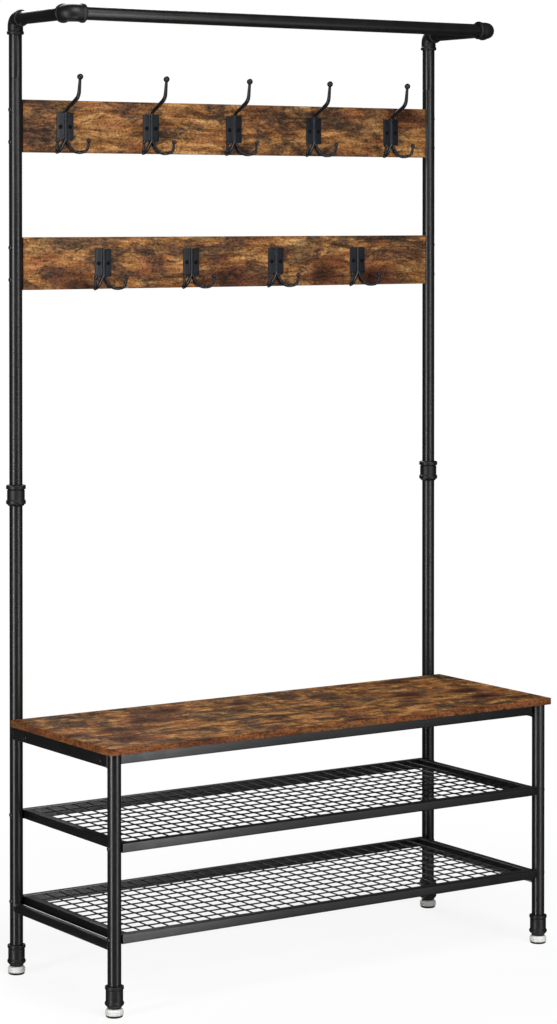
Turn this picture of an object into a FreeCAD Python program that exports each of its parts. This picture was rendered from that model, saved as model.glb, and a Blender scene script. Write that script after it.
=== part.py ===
import FreeCAD, Part
import math
import os

# Hall tree: a steel-tube frame that carries a bench board, two mesh shoe shelves, two boards
# with coat hooks and a pipework rail on top. It stands on four screw-adjusted feet.
# Millimetres. +X is to the object's right, +Y to its back, +Z up. The origin is on the floor,
# in the middle of the object's box.

Vec = FreeCAD.Vector

# ---- driving sizes ---------------------------------------------------------------------------
post_pitch = 974.0          # between the tube centres, left to right
depth_pitch = 364.0         # between the tube centres, front legs to rear posts
top_axis_z = 1812.5         # axis of the top arms and of the hanging rail
rail_setback = 204.7        # hanging rail axis in front of the rear posts
coupling_z = 910.0          # middle of the coupling that joins lower and upper posts
riser_seam_z = 1700.0       # where the riser plugs into the upper post

tube_r = 12.5               # outside of the main tubes
tube_wall = 1.2
spigot_length = 40.0        # reduced end of the riser, inside the upper post
seam_chamfer = 0.6

# ---- seat ------------------------------------------------------------------------------------
seat_top_z = 486.5
seat_thickness = 13.0
seat_side_overhang = 19.5   # past the leg axes
seat_front_overhang = 16.5
seat_post_gap = 0.5         # between the board and the rear posts
seat_edge_r = 0.8

side_rail_width = 23.0
side_rail_height = 25.0
long_rail_size = 20.0
long_rail_wall = 1.5
front_rail_setback = 0.0    # outer face of the front rail behind the leg axes
rear_rail_setback = 24.0    # outer face of the rear rail in front of the post axes
tab_thickness = 3.0
tab_bolt_setback = 30.7     # bolt behind the long rail's outer face
tab_edge_margin = 11.0      # past the bolt axis
tab_leg_gap = 0.5
seat_bolt_rise = 9.5        # bolt above the underside of the side rail
seat_screw_pitch = 300.0
seat_screw_r = 2.0
seat_screw_bite = 9.0       # into the board
seat_screw_head_r = 4.2
seat_screw_head_height = 2.6

# ---- shelves ---------------------------------------------------------------------------------
shelf_top_z = {"upper": 312.0, "lower": 147.5}
shelf_bar = 17.0
shelf_bar_wall = 1.2
shelf_plug = 12.0           # threaded plug in each end of the long bars
mesh_wire = 2.2
mesh_cells_x = 30
mesh_cells_y = 11
stretcher_r = 9.5
stretcher_wall = 1.2
stretcher_z = 126.0

# ---- hook boards and hooks -------------------------------------------------------------------
board_thickness = 15.0
board_height = 100.0
board_z = {"upper": 1610.0, "lower": 1349.0}       # middles
board_bolt_spacing = 61.0
board_bolt_bite = 30.0
hat_hook_pitch = 192.0
hat_hook_count = 5
coat_hook_pitch = 200.0
coat_hook_count = 4

hook_plate_width = 36.5
hook_plate_height = 55.0
hook_plate_thickness = 2.0
hook_plate_corner_r = 2.5
hook_plate_drop = 23.0      # plate top under the board top
hook_rib_r = 3.25
hook_rib_back_gap = 0.4     # metal left between the rib and the back of the plate
hook_wire_r = 2.8
hook_prong_path = ((0.0, 0.0, 1.0), (15.0, 2.0, -24.0), (31.0, 20.0, -24.0), (32.3, 28.0, -3.5))
                            # sideways, forward and up from the foot of the rib
hat_ball_r = 6.0
prong_ball_r = 4.0
hook_screw_r = 1.75
hook_screw_spread = 10.5    # each screw from the middle of the plate
hook_screw_length = 14.0
hook_screw_head_r = 3.4
hook_screw_head_height = 1.6

# ---- bolts -----------------------------------------------------------------------------------
bolt_r = 3.0
bolt_hole_r = 3.2
bolt_head_r = 5.0
bolt_head_height = 3.0
bolt_socket_flats = 4.0
bolt_socket_depth = 1.6
nut_flats = 10.0
nut_height = 5.0

# ---- pipe fittings ---------------------------------------------------------------------------
# Walls and ring heights are measured from the outside of the tube that plugs in.
ring_width = 6.5
ring_chamfer = 0.8
rear_elbow = {"wall": 2.25, "ring": 3.7, "sockets": (15.0, 10.0)}       # down, forward
front_elbow = {"wall": 3.75, "ring": 5.5, "sockets": (9.5, 14.5)}       # back, inward
elbow_heel = 0.25           # inside corner: bend radius less the body's radius
coupling_half = 20.0
coupling_wall = 4.5
coupling_ring = 6.25
coupling_stop = 1.5         # half thickness of the collar that the tube ends rest on

# ---- feet ------------------------------------------------------------------------------------
pad_r = 15.5
pad_height = 4.0
pad_boss_r = 8.0
pad_boss_height = 2.0
glide_r = 16.5
glide_height = 11.5
glide_edge_r = 1.5
glide_gap = 0.3             # between the glide, screwed right in, and the collar
stem_r = 3.95
stem_clearance = 0.05       # running fit of the stem in the nut and in the glide
stem_reach = 36.0           # above the end of the leg tube
stem_flange_lip = 2.05
stem_flange_height = 2.0
stem_flange_floor = 2.5     # glide plastic under the flange
stem_axial_play = 0.2
stem_hole_gap = 0.6         # past the nut's bore, in the collar
foot_nut_flats = 13.0
foot_nut_height = 6.5
collar_floor = 3.7          # under the nut
collar_socket = 30.0        # depth that the tube sits in
collar_neck = 0.35          # these three are past the outside of the tube
collar_wall = 3.2
collar_ring = 5.0
collar_ring_width = 5.5

# ---- worked out from the above ---------------------------------------------------------------
leg_x = post_pitch / 2
front_reach = max(seat_front_overhang, tube_r + collar_ring, glide_r)
rear_reach = max(tube_r + coupling_ring, tube_r + collar_ring, tube_r + rear_elbow["ring"],
                 glide_r)
leg_y = -(depth_pitch + rear_reach - front_reach) / 2
post_y = leg_y + depth_pitch
rail_y = post_y - rail_setback
rail_top_z = seat_top_z - seat_thickness
side_rail_bottom_z = rail_top_z - side_rail_height
seat_bolt_z = side_rail_bottom_z + seat_bolt_rise
tube_bore_r = tube_r - tube_wall
inner_x = leg_x - tube_r    # where boards and shelves meet the tubes
board_front_y = post_y - board_thickness / 2
glide_top_z = pad_height + glide_height
foot_nut_seat_z = glide_top_z + glide_gap + collar_floor
leg_seat_z = foot_nut_seat_z + foot_nut_height
collar_top_z = leg_seat_z + collar_socket
stem_top_z = leg_seat_z + stem_reach
stem_bore_r = stem_r + stem_clearance
stem_flange_r = stem_r + stem_flange_lip
stem_flange_z = pad_height + pad_boss_height + stem_flange_floor

SIDES = {"left": -1, "right": 1}
FEET = {
    "front_left": (-leg_x, leg_y),
    "front_right": (leg_x, leg_y),
    "rear_left": (-leg_x, post_y),
    "rear_right": (leg_x, post_y),
}


# ---- shapes ----------------------------------------------------------------------------------
def rod(start, end, radius):
    """A solid cylinder from one point to another."""
    along = end - start
    return Part.makeCylinder(radius, along.Length, start, along)


def pipe(start, end, radius, wall):
    """A round tube from one point to another."""
    return rod(start, end, radius).cut(rod(start, end, radius - wall))


def box(low, high):
    """A box between two opposite corners."""
    size = high - low
    return Part.makeBox(size.x, size.y, size.z, low)


def box_pipe(low, high, wall, along):
    """A rectangular tube, open at both ends, that runs along x or y."""
    inset = Vec(0, wall, wall) if along == "x" else Vec(wall, 0, wall)
    return box(low, high).cut(box(low + inset, high - inset))


def turned(profile, x=0.0, y=0.0):
    """A solid of revolution about a vertical axis, from a closed (radius, height) outline."""
    points = [Vec(radius, 0, height) for radius, height in profile]
    face = Part.Face(Part.makePolygon(points + points[:1]))
    solid = face.revolve(Vec(0, 0, 0), Vec(0, 0, 1), 360)
    solid.translate(Vec(x, y, 0))
    return solid


def hexagon(flats, height):
    """A hexagonal prism that stands on the origin."""
    corner = flats / math.sqrt(3)
    points = [Vec(corner * math.cos(k * math.pi / 3), corner * math.sin(k * math.pi / 3), 0)
              for k in range(7)]
    return Part.Face(Part.makePolygon(points)).extrude(Vec(0, 0, height))


def hex_nut(flats, height, bore_r):
    """A plain hexagonal nut that stands on the origin."""
    return hexagon(flats, height).cut(Part.makeCylinder(bore_r, height))


def point_at(shape, place, direction):
    """Turn a shape built up the Z axis along a direction and move its origin to a place."""
    turn = FreeCAD.Rotation(Vec(0, 0, 1), direction)
    moved = shape.copy()
    moved.Placement = FreeCAD.Placement(place, turn).multiply(moved.Placement)
    return moved


def mirrored(shape):
    """The left-hand twin of a right-hand piece."""
    return shape.mirror(Vec(0, 0, 0), Vec(1, 0, 0))


def bent_rod(points, bends, radius):
    """A round rod: straight runs between the points, joined by tangent bends at the inner ones."""
    runs = []
    start = points[0]
    for before, corner, after, bend in zip(points, points[1:], points[2:], bends):
        came = (corner - before).normalize()
        goes = (after - corner).normalize()
        turn = came.getAngle(goes)
        trim = bend * math.tan(turn / 2)
        bend_start = corner - came * trim
        inward = (goes - came * came.dot(goes)).normalize()
        section = Part.Face(Part.Wire([Part.makeCircle(radius, bend_start, came)]))
        runs.append(rod(start, bend_start, radius))
        runs.append(section.revolve(bend_start + inward * bend, came.cross(goes),
                                    math.degrees(turn)))
        start = corner + goes * trim
    runs.append(rod(start, points[-1], radius))
    return runs[0].fuse(runs[1:])


def button_bolt(radius, length, head_r, head_height, socket_flats, socket_depth):
    """A domed screw: its shank hangs down from the origin and its head stands on it."""
    edge = head_height * 0.35
    dome = Part.Arc(Vec(head_r, 0, edge), Vec(head_r * 0.78, 0, head_height * 0.82),
                    Vec(head_r * 0.45, 0, head_height)).toShape()
    outline = Part.Wire([
        Part.makeLine(Vec(0, 0, 0), Vec(head_r, 0, 0)),
        Part.makeLine(Vec(head_r, 0, 0), Vec(head_r, 0, edge)),
        dome,
        Part.makeLine(Vec(head_r * 0.45, 0, head_height), Vec(0, 0, head_height)),
        Part.makeLine(Vec(0, 0, head_height), Vec(0, 0, 0)),
    ])
    head = Part.Face(outline).revolve(Vec(0, 0, 0), Vec(0, 0, 1), 360)
    socket = hexagon(socket_flats, socket_depth)
    socket.translate(Vec(0, 0, head_height - socket_depth))
    shank = Part.makeCylinder(radius, length, Vec(0, 0, -length))
    return head.cut(socket).fuse(shank).removeSplitter()


def save(node, shape):
    """Write one sub-part to its own file."""
    shape.exportStep("parts/" + node + ".step")


# ---- bolt places: shelves and hook boards are bolted through the tubes, along X ----------------
def post_bolt_places():
    """(y, z, bite) of each bolt on one side; bite is how far it goes past the tube."""
    places = []
    for top_z in shelf_top_z.values():
        for y in (leg_y, post_y):
            places.append((y, top_z - shelf_bar / 2, shelf_plug))
    for middle in board_z.values():
        for end in (-0.5, 0.5):
            places.append((post_y, middle + end * board_bolt_spacing, board_bolt_bite))
    return places


def drill_tube(tube, axis_y, low_z, high_z):
    """Drill the bolt holes that fall on one right-hand tube."""
    for y, z, _ in post_bolt_places():
        if y == axis_y and low_z < z < high_z:
            tube = tube.cut(rod(Vec(leg_x - tube_r - 1, y, z), Vec(leg_x + tube_r + 1, y, z),
                                bolt_hole_r))
    return tube


# ---- welded side frames ----------------------------------------------------------------------
def front_leg():
    leg = pipe(Vec(leg_x, leg_y, leg_seat_z), Vec(leg_x, leg_y, rail_top_z), tube_r, tube_wall)
    return drill_tube(leg, leg_y, leg_seat_z, rail_top_z)


def rear_post_lower():
    top = coupling_z - coupling_stop
    post = pipe(Vec(leg_x, post_y, leg_seat_z), Vec(leg_x, post_y, top), tube_r, tube_wall)
    return drill_tube(post, post_y, leg_seat_z, top)


def between_tubes(shape):
    """Cope a side member to the leg in front of it and the post behind it."""
    for y in (leg_y, post_y):
        shape = shape.cut(rod(Vec(leg_x, y, 0), Vec(leg_x, y, seat_top_z), tube_r))
    return max(shape.Solids, key=lambda solid: solid.Volume)


def seat_rail_bolt_ys():
    front = leg_y + front_rail_setback + tab_bolt_setback
    rear = post_y - rear_rail_setback - tab_bolt_setback
    return (front, rear)


def seat_side_rail():
    rail = box_pipe(Vec(leg_x - side_rail_width / 2, leg_y, side_rail_bottom_z),
                    Vec(leg_x + side_rail_width / 2, post_y, rail_top_z), tube_wall, "y")
    for y in seat_rail_bolt_ys():
        rail = rail.cut(rod(Vec(leg_x - side_rail_width, y, seat_bolt_z),
                            Vec(leg_x + side_rail_width, y, seat_bolt_z), bolt_hole_r))
    return between_tubes(rail)


def side_stretcher():
    return between_tubes(pipe(Vec(leg_x, leg_y, stretcher_z), Vec(leg_x, post_y, stretcher_z),
                              stretcher_r, stretcher_wall))


# ---- pipework above the couplings --------------------------------------------------------------
def post_coupling():
    half = coupling_half
    ring = tube_r + coupling_ring
    body = tube_r + coupling_wall
    outline = [
        (tube_r, -half), (body - 2.5, -half), (body, -half + 3.5), (ring, -half + 4.0),
        (ring, -half + 4.0 + ring_width), (body, -half + 4.5 + ring_width),
        (body, half - 3.0 - ring_width), (body - 0.9, half - 2.6 - ring_width),
        (body - 0.9, half - 1.6 - ring_width), (ring, half - 1.2 - ring_width),
        (ring, half - 1.2), (body, half), (tube_r, half),
        (tube_r, coupling_stop), (tube_bore_r, coupling_stop),
        (tube_bore_r, -coupling_stop), (tube_r, -coupling_stop),
    ]
    return turned([(radius, coupling_z + z) for radius, z in outline], leg_x, post_y)


def rear_post_upper():
    low = coupling_z + coupling_stop
    outline = [
        (tube_bore_r, low), (tube_r, low), (tube_r, riser_seam_z - seam_chamfer),
        (tube_r - seam_chamfer, riser_seam_z), (tube_bore_r, riser_seam_z),
    ]
    return drill_tube(turned(outline, leg_x, post_y), post_y, low, riser_seam_z)


def elbow_bend(fitting):
    """The bend radius of an elbow, on its axis. The sockets end where the bend starts."""
    return tube_r + fitting["wall"] + elbow_heel


def riser():
    top = top_axis_z - elbow_bend(rear_elbow)
    spigot = riser_seam_z - spigot_length
    inner = tube_bore_r - tube_wall
    outline = [
        (inner, spigot), (tube_bore_r, spigot), (tube_bore_r, riser_seam_z),
        (tube_r - seam_chamfer, riser_seam_z), (tube_r, riser_seam_z + seam_chamfer),
        (tube_r, top), (tube_bore_r, top), (tube_bore_r, riser_seam_z + tube_wall),
        (inner, riser_seam_z + tube_wall),
    ]
    return turned(outline, leg_x, post_y)


def elbow(fitting, corner, first, second):
    """A cast elbow at a corner of two axes; its legs run along the two directions.

    Each leg has a ring at its mouth and a socket for a tube, down to where the bend starts.
    """
    bend = elbow_bend(fitting)
    solids = []
    for radius, sockets in ((tube_r + fitting["wall"], False), (tube_bore_r, True)):
        circle = Part.Face(Part.Wire([Part.makeCircle(radius, Vec(bend, 0, 0), Vec(1, 0, 0))]))
        shape = circle.revolve(Vec(bend, bend, 0), Vec(0, 0, 1), -90)
        for depth, direction in zip(fitting["sockets"], (Vec(1, 0, 0), Vec(0, 1, 0))):
            mouth = bend + depth
            leg_r = tube_r if sockets else radius
            shape = shape.fuse(rod(direction * bend, direction * mouth, leg_r))
            if not sockets:
                ring = rod(direction * (mouth - ring_width), direction * mouth,
                           tube_r + fitting["ring"])
                shape = shape.fuse(ring.makeChamfer(ring_chamfer, ring.Edges))
        solids.append(shape)
    shape = solids[0].cut(solids[1]).removeSplitter()
    turn = FreeCAD.Rotation(first, second, first.cross(second), "XYZ")
    shape.Placement = FreeCAD.Placement(corner, turn)
    return shape


def rear_elbow_piece():
    return elbow(rear_elbow, Vec(leg_x, post_y, top_axis_z), Vec(0, 0, -1), Vec(0, -1, 0))


def front_elbow_piece():
    return elbow(front_elbow, Vec(leg_x, rail_y, top_axis_z), Vec(0, 1, 0), Vec(-1, 0, 0))


def top_arm():
    return pipe(Vec(leg_x, rail_y + elbow_bend(front_elbow), top_axis_z),
                Vec(leg_x, post_y - elbow_bend(rear_elbow), top_axis_z), tube_r, tube_wall)


def hanging_rail():
    reach = leg_x - elbow_bend(front_elbow)
    return pipe(Vec(-reach, rail_y, top_axis_z), Vec(reach, rail_y, top_axis_z),
                tube_r, tube_wall)


# ---- seat --------------------------------------------------------------------------------------
def long_rail_low_ys():
    """The lower y of the front and of the rear long rail."""
    front = leg_y + front_rail_setback
    rear = post_y - rear_rail_setback - long_rail_size
    return (front, rear)


def seat_screw_places():
    return [(k * seat_screw_pitch, y + long_rail_size / 2)
            for y in long_rail_low_ys() for k in (-1, 0, 1)]


def seat_board():
    board = box(Vec(-leg_x - seat_side_overhang, leg_y - seat_front_overhang, rail_top_z),
                Vec(leg_x + seat_side_overhang, post_y - tube_r - seat_post_gap, seat_top_z))
    board = board.makeFillet(seat_edge_r, board.Edges)
    for x, y in seat_screw_places():
        board = board.cut(rod(Vec(x, y, rail_top_z - 1), Vec(x, y, rail_top_z + seat_screw_bite),
                              seat_screw_r))
    return board


def seat_long_rail(low_y, bolt_y):
    """A square tube under the board, with a bolting tab at each end."""
    tab_x = leg_x - side_rail_width / 2
    rail_x = tab_x - tab_thickness
    low_z = rail_top_z - long_rail_size
    shape = box_pipe(Vec(-rail_x, low_y, low_z), Vec(rail_x, low_y + long_rail_size, rail_top_z),
                     long_rail_wall, "x")
    for x, y in seat_screw_places():
        if low_y < y < low_y + long_rail_size:
            shape = shape.cut(rod(Vec(x, y, low_z - 1), Vec(x, y, rail_top_z + 1),
                                  seat_screw_r + 0.2))
    nearest = leg_y + tube_r + tab_leg_gap
    farthest = post_y - tube_r - tab_leg_gap
    tab_low_y = max(min(low_y, bolt_y - tab_edge_margin), nearest)
    tab_high_y = min(max(low_y + long_rail_size, bolt_y + tab_edge_margin), farthest)
    tab = box(Vec(rail_x, tab_low_y, side_rail_bottom_z), Vec(tab_x, tab_high_y, rail_top_z))
    tab = tab.cut(rod(Vec(rail_x - 1, bolt_y, seat_bolt_z), Vec(tab_x + 1, bolt_y, seat_bolt_z),
                      bolt_hole_r))
    shape = shape.fuse([tab, mirrored(tab)])
    for x, y in FEET.values():
        shape = shape.cut(rod(Vec(x, y, side_rail_bottom_z), Vec(x, y, rail_top_z),
                              tube_r + tab_leg_gap))
    return shape.removeSplitter()


def seat_frame_bolts():
    """Bolts through the side rails and the tabs, with their nuts."""
    head_x = leg_x + side_rail_width / 2
    nut_x = leg_x - side_rail_width / 2 - tab_thickness
    length = head_x - nut_x + nut_height + 1
    pieces = []
    for y in seat_rail_bolt_ys():
        bolt = button_bolt(bolt_r, length, bolt_head_r, bolt_head_height,
                           bolt_socket_flats, bolt_socket_depth)
        nut = hex_nut(nut_flats, nut_height, bolt_r)
        right = [point_at(bolt, Vec(head_x, y, seat_bolt_z), Vec(1, 0, 0)),
                 point_at(nut, Vec(nut_x, y, seat_bolt_z), Vec(-1, 0, 0))]
        pieces += right + [mirrored(piece) for piece in right]
    return Part.makeCompound(pieces)


def seat_screws():
    low_z = rail_top_z - long_rail_size
    screw = button_bolt(seat_screw_r, long_rail_size + seat_screw_bite, seat_screw_head_r,
                        seat_screw_head_height, seat_screw_r * 1.5, seat_screw_head_height / 2)
    return Part.makeCompound([point_at(screw, Vec(x, y, low_z), Vec(0, 0, -1))
                              for x, y in seat_screw_places()])


# ---- shelves -----------------------------------------------------------------------------------
def shelf_frame(top_z):
    """Two long bars between the tubes and two side bars welded between them."""
    low_z = top_z - shelf_bar
    half = shelf_bar / 2
    bars = []
    for y in (leg_y, post_y):
        bar = box_pipe(Vec(-inner_x, y - half, low_z), Vec(inner_x, y + half, top_z),
                       shelf_bar_wall, "x")
        inset = Vec(0, shelf_bar_wall, shelf_bar_wall)
        plug = box(Vec(inner_x - shelf_plug, y - half, low_z) + inset,
                   Vec(inner_x, y + half, top_z) - inset)
        plug = plug.cut(rod(Vec(inner_x - shelf_plug, y, low_z + half),
                            Vec(inner_x, y, low_z + half), bolt_r))
        bars.append(bar.fuse([plug, mirrored(plug)]).removeSplitter())
    side = box_pipe(Vec(inner_x - shelf_bar, leg_y + half, low_z),
                    Vec(inner_x, post_y - half, top_z), shelf_bar_wall, "y")
    return Part.makeCompound(bars + [side, mirrored(side)])


def shelf_mesh(top_z):
    """A square grid, as thick as two crossing wires, welded inside the shelf frame."""
    low_x = -(inner_x - shelf_bar)
    low_y = leg_y + shelf_bar / 2
    pitch_x = -2 * low_x / mesh_cells_x
    pitch_y = (depth_pitch - shelf_bar) / mesh_cells_y
    low_z = top_z - 2 * mesh_wire
    outline = Part.makePlane(-2 * low_x, depth_pitch - shelf_bar, Vec(low_x, low_y, low_z))
    half_wire = mesh_wire / 2
    cells = []
    for i in range(mesh_cells_x):
        west = low_x + i * pitch_x + (mesh_wire if i == 0 else half_wire)
        east = low_x + (i + 1) * pitch_x - (mesh_wire if i == mesh_cells_x - 1 else half_wire)
        for j in range(mesh_cells_y):
            south = low_y + j * pitch_y + (mesh_wire if j == 0 else half_wire)
            north = low_y + (j + 1) * pitch_y - (mesh_wire if j == mesh_cells_y - 1
                                                 else half_wire)
            corners = [Vec(west, south, low_z), Vec(west, north, low_z),
                       Vec(east, north, low_z), Vec(east, south, low_z), Vec(west, south, low_z)]
            cells.append(Part.makePolygon(corners))
    grid = Part.Face([outline.OuterWire] + cells)
    return grid.extrude(Vec(0, 0, 2 * mesh_wire))


# ---- hook boards and hooks -----------------------------------------------------------------------
def hook_places(row):
    """The x of each hook in a row, from left to right."""
    count, pitch = {"upper": (hat_hook_count, hat_hook_pitch),
                    "lower": (coat_hook_count, coat_hook_pitch)}[row]
    return [(k - (count - 1) / 2) * pitch for k in range(count)]


def hook_base_z(row):
    """The underside of the hook plates in a row."""
    return board_z[row] + board_height / 2 - hook_plate_drop - hook_plate_height


def hook_screw_places(row):
    z = hook_base_z(row) + hook_plate_height / 2
    return [(x + side * hook_screw_spread, z) for x in hook_places(row) for side in (-1, 1)]


def hook_board(row):
    low_z = board_z[row] - board_height / 2
    back_y = board_front_y + board_thickness
    board = box(Vec(-inner_x, board_front_y, low_z), Vec(inner_x, back_y, low_z + board_height))
    for end in (-0.5, 0.5):
        z = board_z[row] + end * board_bolt_spacing
        for side in SIDES.values():
            board = board.cut(rod(Vec(side * (inner_x - board_bolt_bite), post_y, z),
                                  Vec(side * (inner_x + 1), post_y, z), bolt_r))
    bite = hook_screw_length - hook_plate_thickness
    for x, z in hook_screw_places(row):
        board = board.cut(rod(Vec(x, board_front_y - 1, z), Vec(x, board_front_y + bite, z),
                              hook_screw_r))
    return board


def hook(top_prong):
    """A cast hook: a plate with a rib, two splayed lower prongs and, on hat hooks, a tall one.

    Built with its back on y = 0, reaching towards -y, and with the plate's underside at z = 0.
    """
    half = hook_plate_width / 2
    plate = box(Vec(-half, -hook_plate_thickness, 0), Vec(half, 0, hook_plate_height))
    upright = [edge for edge in plate.Edges
               if abs(edge.Vertexes[0].Y - edge.Vertexes[1].Y) > hook_plate_thickness / 2]
    plate = plate.makeFillet(hook_plate_corner_r, upright)
    root = Vec(0, -hook_rib_r - hook_rib_back_gap, 0)
    rib = rod(root, root + Vec(0, 0, hook_plate_height), hook_rib_r)
    knuckle = Part.makeSphere(hook_rib_r, root)
    pieces = [rib, knuckle]
    for side in SIDES.values():
        points = [root + Vec(side * across, -forward, rise)
                  for across, forward, rise in hook_prong_path]
        pieces.append(bent_rod(points, (12, 10), hook_wire_r))
        pieces.append(Part.makeSphere(prong_ball_r, points[-1]))
    if top_prong:
        crown = root + Vec(0, 0, hook_plate_height)
        points = [crown + Vec(0, 0, -6), crown + Vec(0, 0, 2), crown + Vec(0, -50, 28),
                  crown + Vec(0, -55, 66)]
        pieces.append(bent_rod(points, (7, 12), hook_wire_r))
        pieces.append(Part.makeSphere(hat_ball_r, points[-1]))
    casting = plate.fuse(pieces).removeSplitter()
    for side in SIDES.values():
        place = Vec(side * hook_screw_spread, 0, hook_plate_height / 2)
        casting = casting.cut(rod(place + Vec(0, 1, 0), place - Vec(0, hook_plate_thickness + 1, 0),
                                  hook_screw_r + 0.2))
    return casting


def hook_screws():
    screw = button_bolt(hook_screw_r, hook_screw_length, hook_screw_head_r,
                        hook_screw_head_height, hook_screw_r, hook_screw_head_height / 2)
    head_y = board_front_y - hook_plate_thickness
    return Part.makeCompound([point_at(screw, Vec(x, head_y, z), Vec(0, -1, 0))
                              for row in board_z for x, z in hook_screw_places(row)])


def post_bolts():
    pieces = []
    for y, z, bite in post_bolt_places():
        bolt = button_bolt(bolt_r, 2 * tube_r + bite, bolt_head_r, bolt_head_height,
                           bolt_socket_flats, bolt_socket_depth)
        right = point_at(bolt, Vec(leg_x + tube_r, y, z), Vec(1, 0, 0))
        pieces += [right, mirrored(right)]
    return Part.makeCompound(pieces)


# ---- feet --------------------------------------------------------------------------------------
def foot_collar(x, y):
    """A pipe-style socket under a tube, with a pocket for the nut of the screw foot."""
    low = glide_top_z + glide_gap
    neck = tube_r + collar_neck
    body = tube_r + collar_wall
    ring = tube_r + collar_ring
    ring_low = low + 6.7
    ring_high = ring_low + collar_ring_width
    top_ring_low = collar_top_z - collar_ring_width
    hole_r = stem_bore_r + stem_hole_gap
    outline = [
        (hole_r, low), (neck, low), (neck, low + 2.2), (ring - 0.6, ring_low),
        (ring, ring_low + 0.6), (ring, ring_high), (body, ring_high + 0.6),
        (body, top_ring_low - 0.6), (ring - 0.3, top_ring_low), (ring - 0.3, collar_top_z - 0.8),
        (ring - 1.1, collar_top_z), (tube_r, collar_top_z), (tube_r, leg_seat_z),
        (hole_r, leg_seat_z),
    ]
    pocket = hexagon(foot_nut_flats, leg_seat_z - foot_nut_seat_z)
    pocket.translate(Vec(x, y, foot_nut_seat_z))
    return turned(outline, x, y).cut(pocket)


def foot_nuts():
    nuts = []
    for x, y in FEET.values():
        nut = hex_nut(foot_nut_flats, foot_nut_height, stem_bore_r)
        nut.translate(Vec(x, y, foot_nut_seat_z))
        nuts.append(nut)
    return Part.makeCompound(nuts)


def glide_base(x, y):
    """The moulded disc that carries the load, with a turning seat for the stem's flange."""
    seat_r = stem_flange_r + stem_axial_play
    seat_low = stem_flange_z - stem_axial_play
    seat_high = stem_flange_z + stem_flange_height + stem_axial_play
    boss_top = pad_height + pad_boss_height
    outline = [
        (0, boss_top), (pad_boss_r, boss_top), (pad_boss_r, pad_height),
        (glide_r - glide_edge_r, pad_height), (glide_r, pad_height + glide_edge_r),
        (glide_r, glide_top_z - glide_edge_r), (glide_r - glide_edge_r, glide_top_z),
        (stem_bore_r, glide_top_z), (stem_bore_r, seat_high), (seat_r, seat_high),
        (seat_r, seat_low), (0, seat_low),
    ]
    return turned(outline, x, y)


def glide_stem(x, y):
    """The screw of the foot, drawn without its thread."""
    flange_top = stem_flange_z + stem_flange_height
    outline = [
        (0, stem_flange_z), (stem_flange_r, stem_flange_z), (stem_flange_r, flange_top),
        (stem_r, flange_top),
        (stem_r, stem_top_z - 1), (stem_r - 1, stem_top_z), (0, stem_top_z),
    ]
    return turned(outline, x, y)


def glide_pad(x, y):
    boss_top = pad_height + pad_boss_height
    outline = [
        (0, 0), (pad_r - 0.6, 0), (pad_r, 0.6), (pad_r, pad_height),
        (pad_boss_r, pad_height), (pad_boss_r, boss_top), (0, boss_top),
    ]
    return turned(outline, x, y)


# ---- write every piece ---------------------------------------------------------------------------
os.makedirs("parts", exist_ok=True)

PAIRS = {
    "front_leg": front_leg,
    "rear_post_lower": rear_post_lower,
    "seat_side_rail": seat_side_rail,
    "side_stretcher": side_stretcher,
    "post_coupling": post_coupling,
    "rear_post_upper": rear_post_upper,
    "riser": riser,
    "rear_elbow": rear_elbow_piece,
    "top_arm": top_arm,
    "front_elbow": front_elbow_piece,
}
for name, make in PAIRS.items():
    right_piece = make()
    save(name + "_right", right_piece)
    save(name + "_left", mirrored(right_piece))

save("hanging_rail", hanging_rail())
save("seat_board", seat_board())
for name, low_y, bolt_y in zip(("front", "rear"), long_rail_low_ys(), seat_rail_bolt_ys()):
    save("seat_" + name + "_rail", seat_long_rail(low_y, bolt_y))

for level, top_z in shelf_top_z.items():
    save(level + "_shelf_frame", shelf_frame(top_z))
    save(level + "_shelf_mesh", shelf_mesh(top_z))

for row, prefix in (("upper", "hat_hook_"), ("lower", "coat_hook_")):
    save(row + "_hook_board", hook_board(row))
    casting = hook(top_prong=(row == "upper"))
    for number, x in enumerate(hook_places(row), start=1):
        piece = casting.copy()
        piece.translate(Vec(x, board_front_y, hook_base_z(row)))
        save(prefix + str(number), piece)

for corner, (x, y) in FEET.items():
    save("foot_collar_" + corner, foot_collar(x, y))
    save("glide_base_" + corner, glide_base(x, y))
    save("glide_stem_" + corner, glide_stem(x, y))
    save("glide_pad_" + corner, glide_pad(x, y))

save("foot_nuts", foot_nuts())
save("post_bolts", post_bolts())
save("seat_frame_bolts", seat_frame_bolts())
save("seat_screws", seat_screws())
save("hook_screws", hook_screws())
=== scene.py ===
# %% [markdown]
# # A hall tree: steel tube, rustic boards, cast hooks
# The CAD model comes in first. It fixes every size and place, and it knows which pieces move.
# What is built here is the visible skin of each piece, worked out with numpy as surfaces of two
# parameters, and the finishes. The CAD pieces could be shown as they are, but their corners are
# sharp and their wire mesh is a flat grid. Real ones have rolled edges, welds and round wires.

# %% Load the frame
import math

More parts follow.
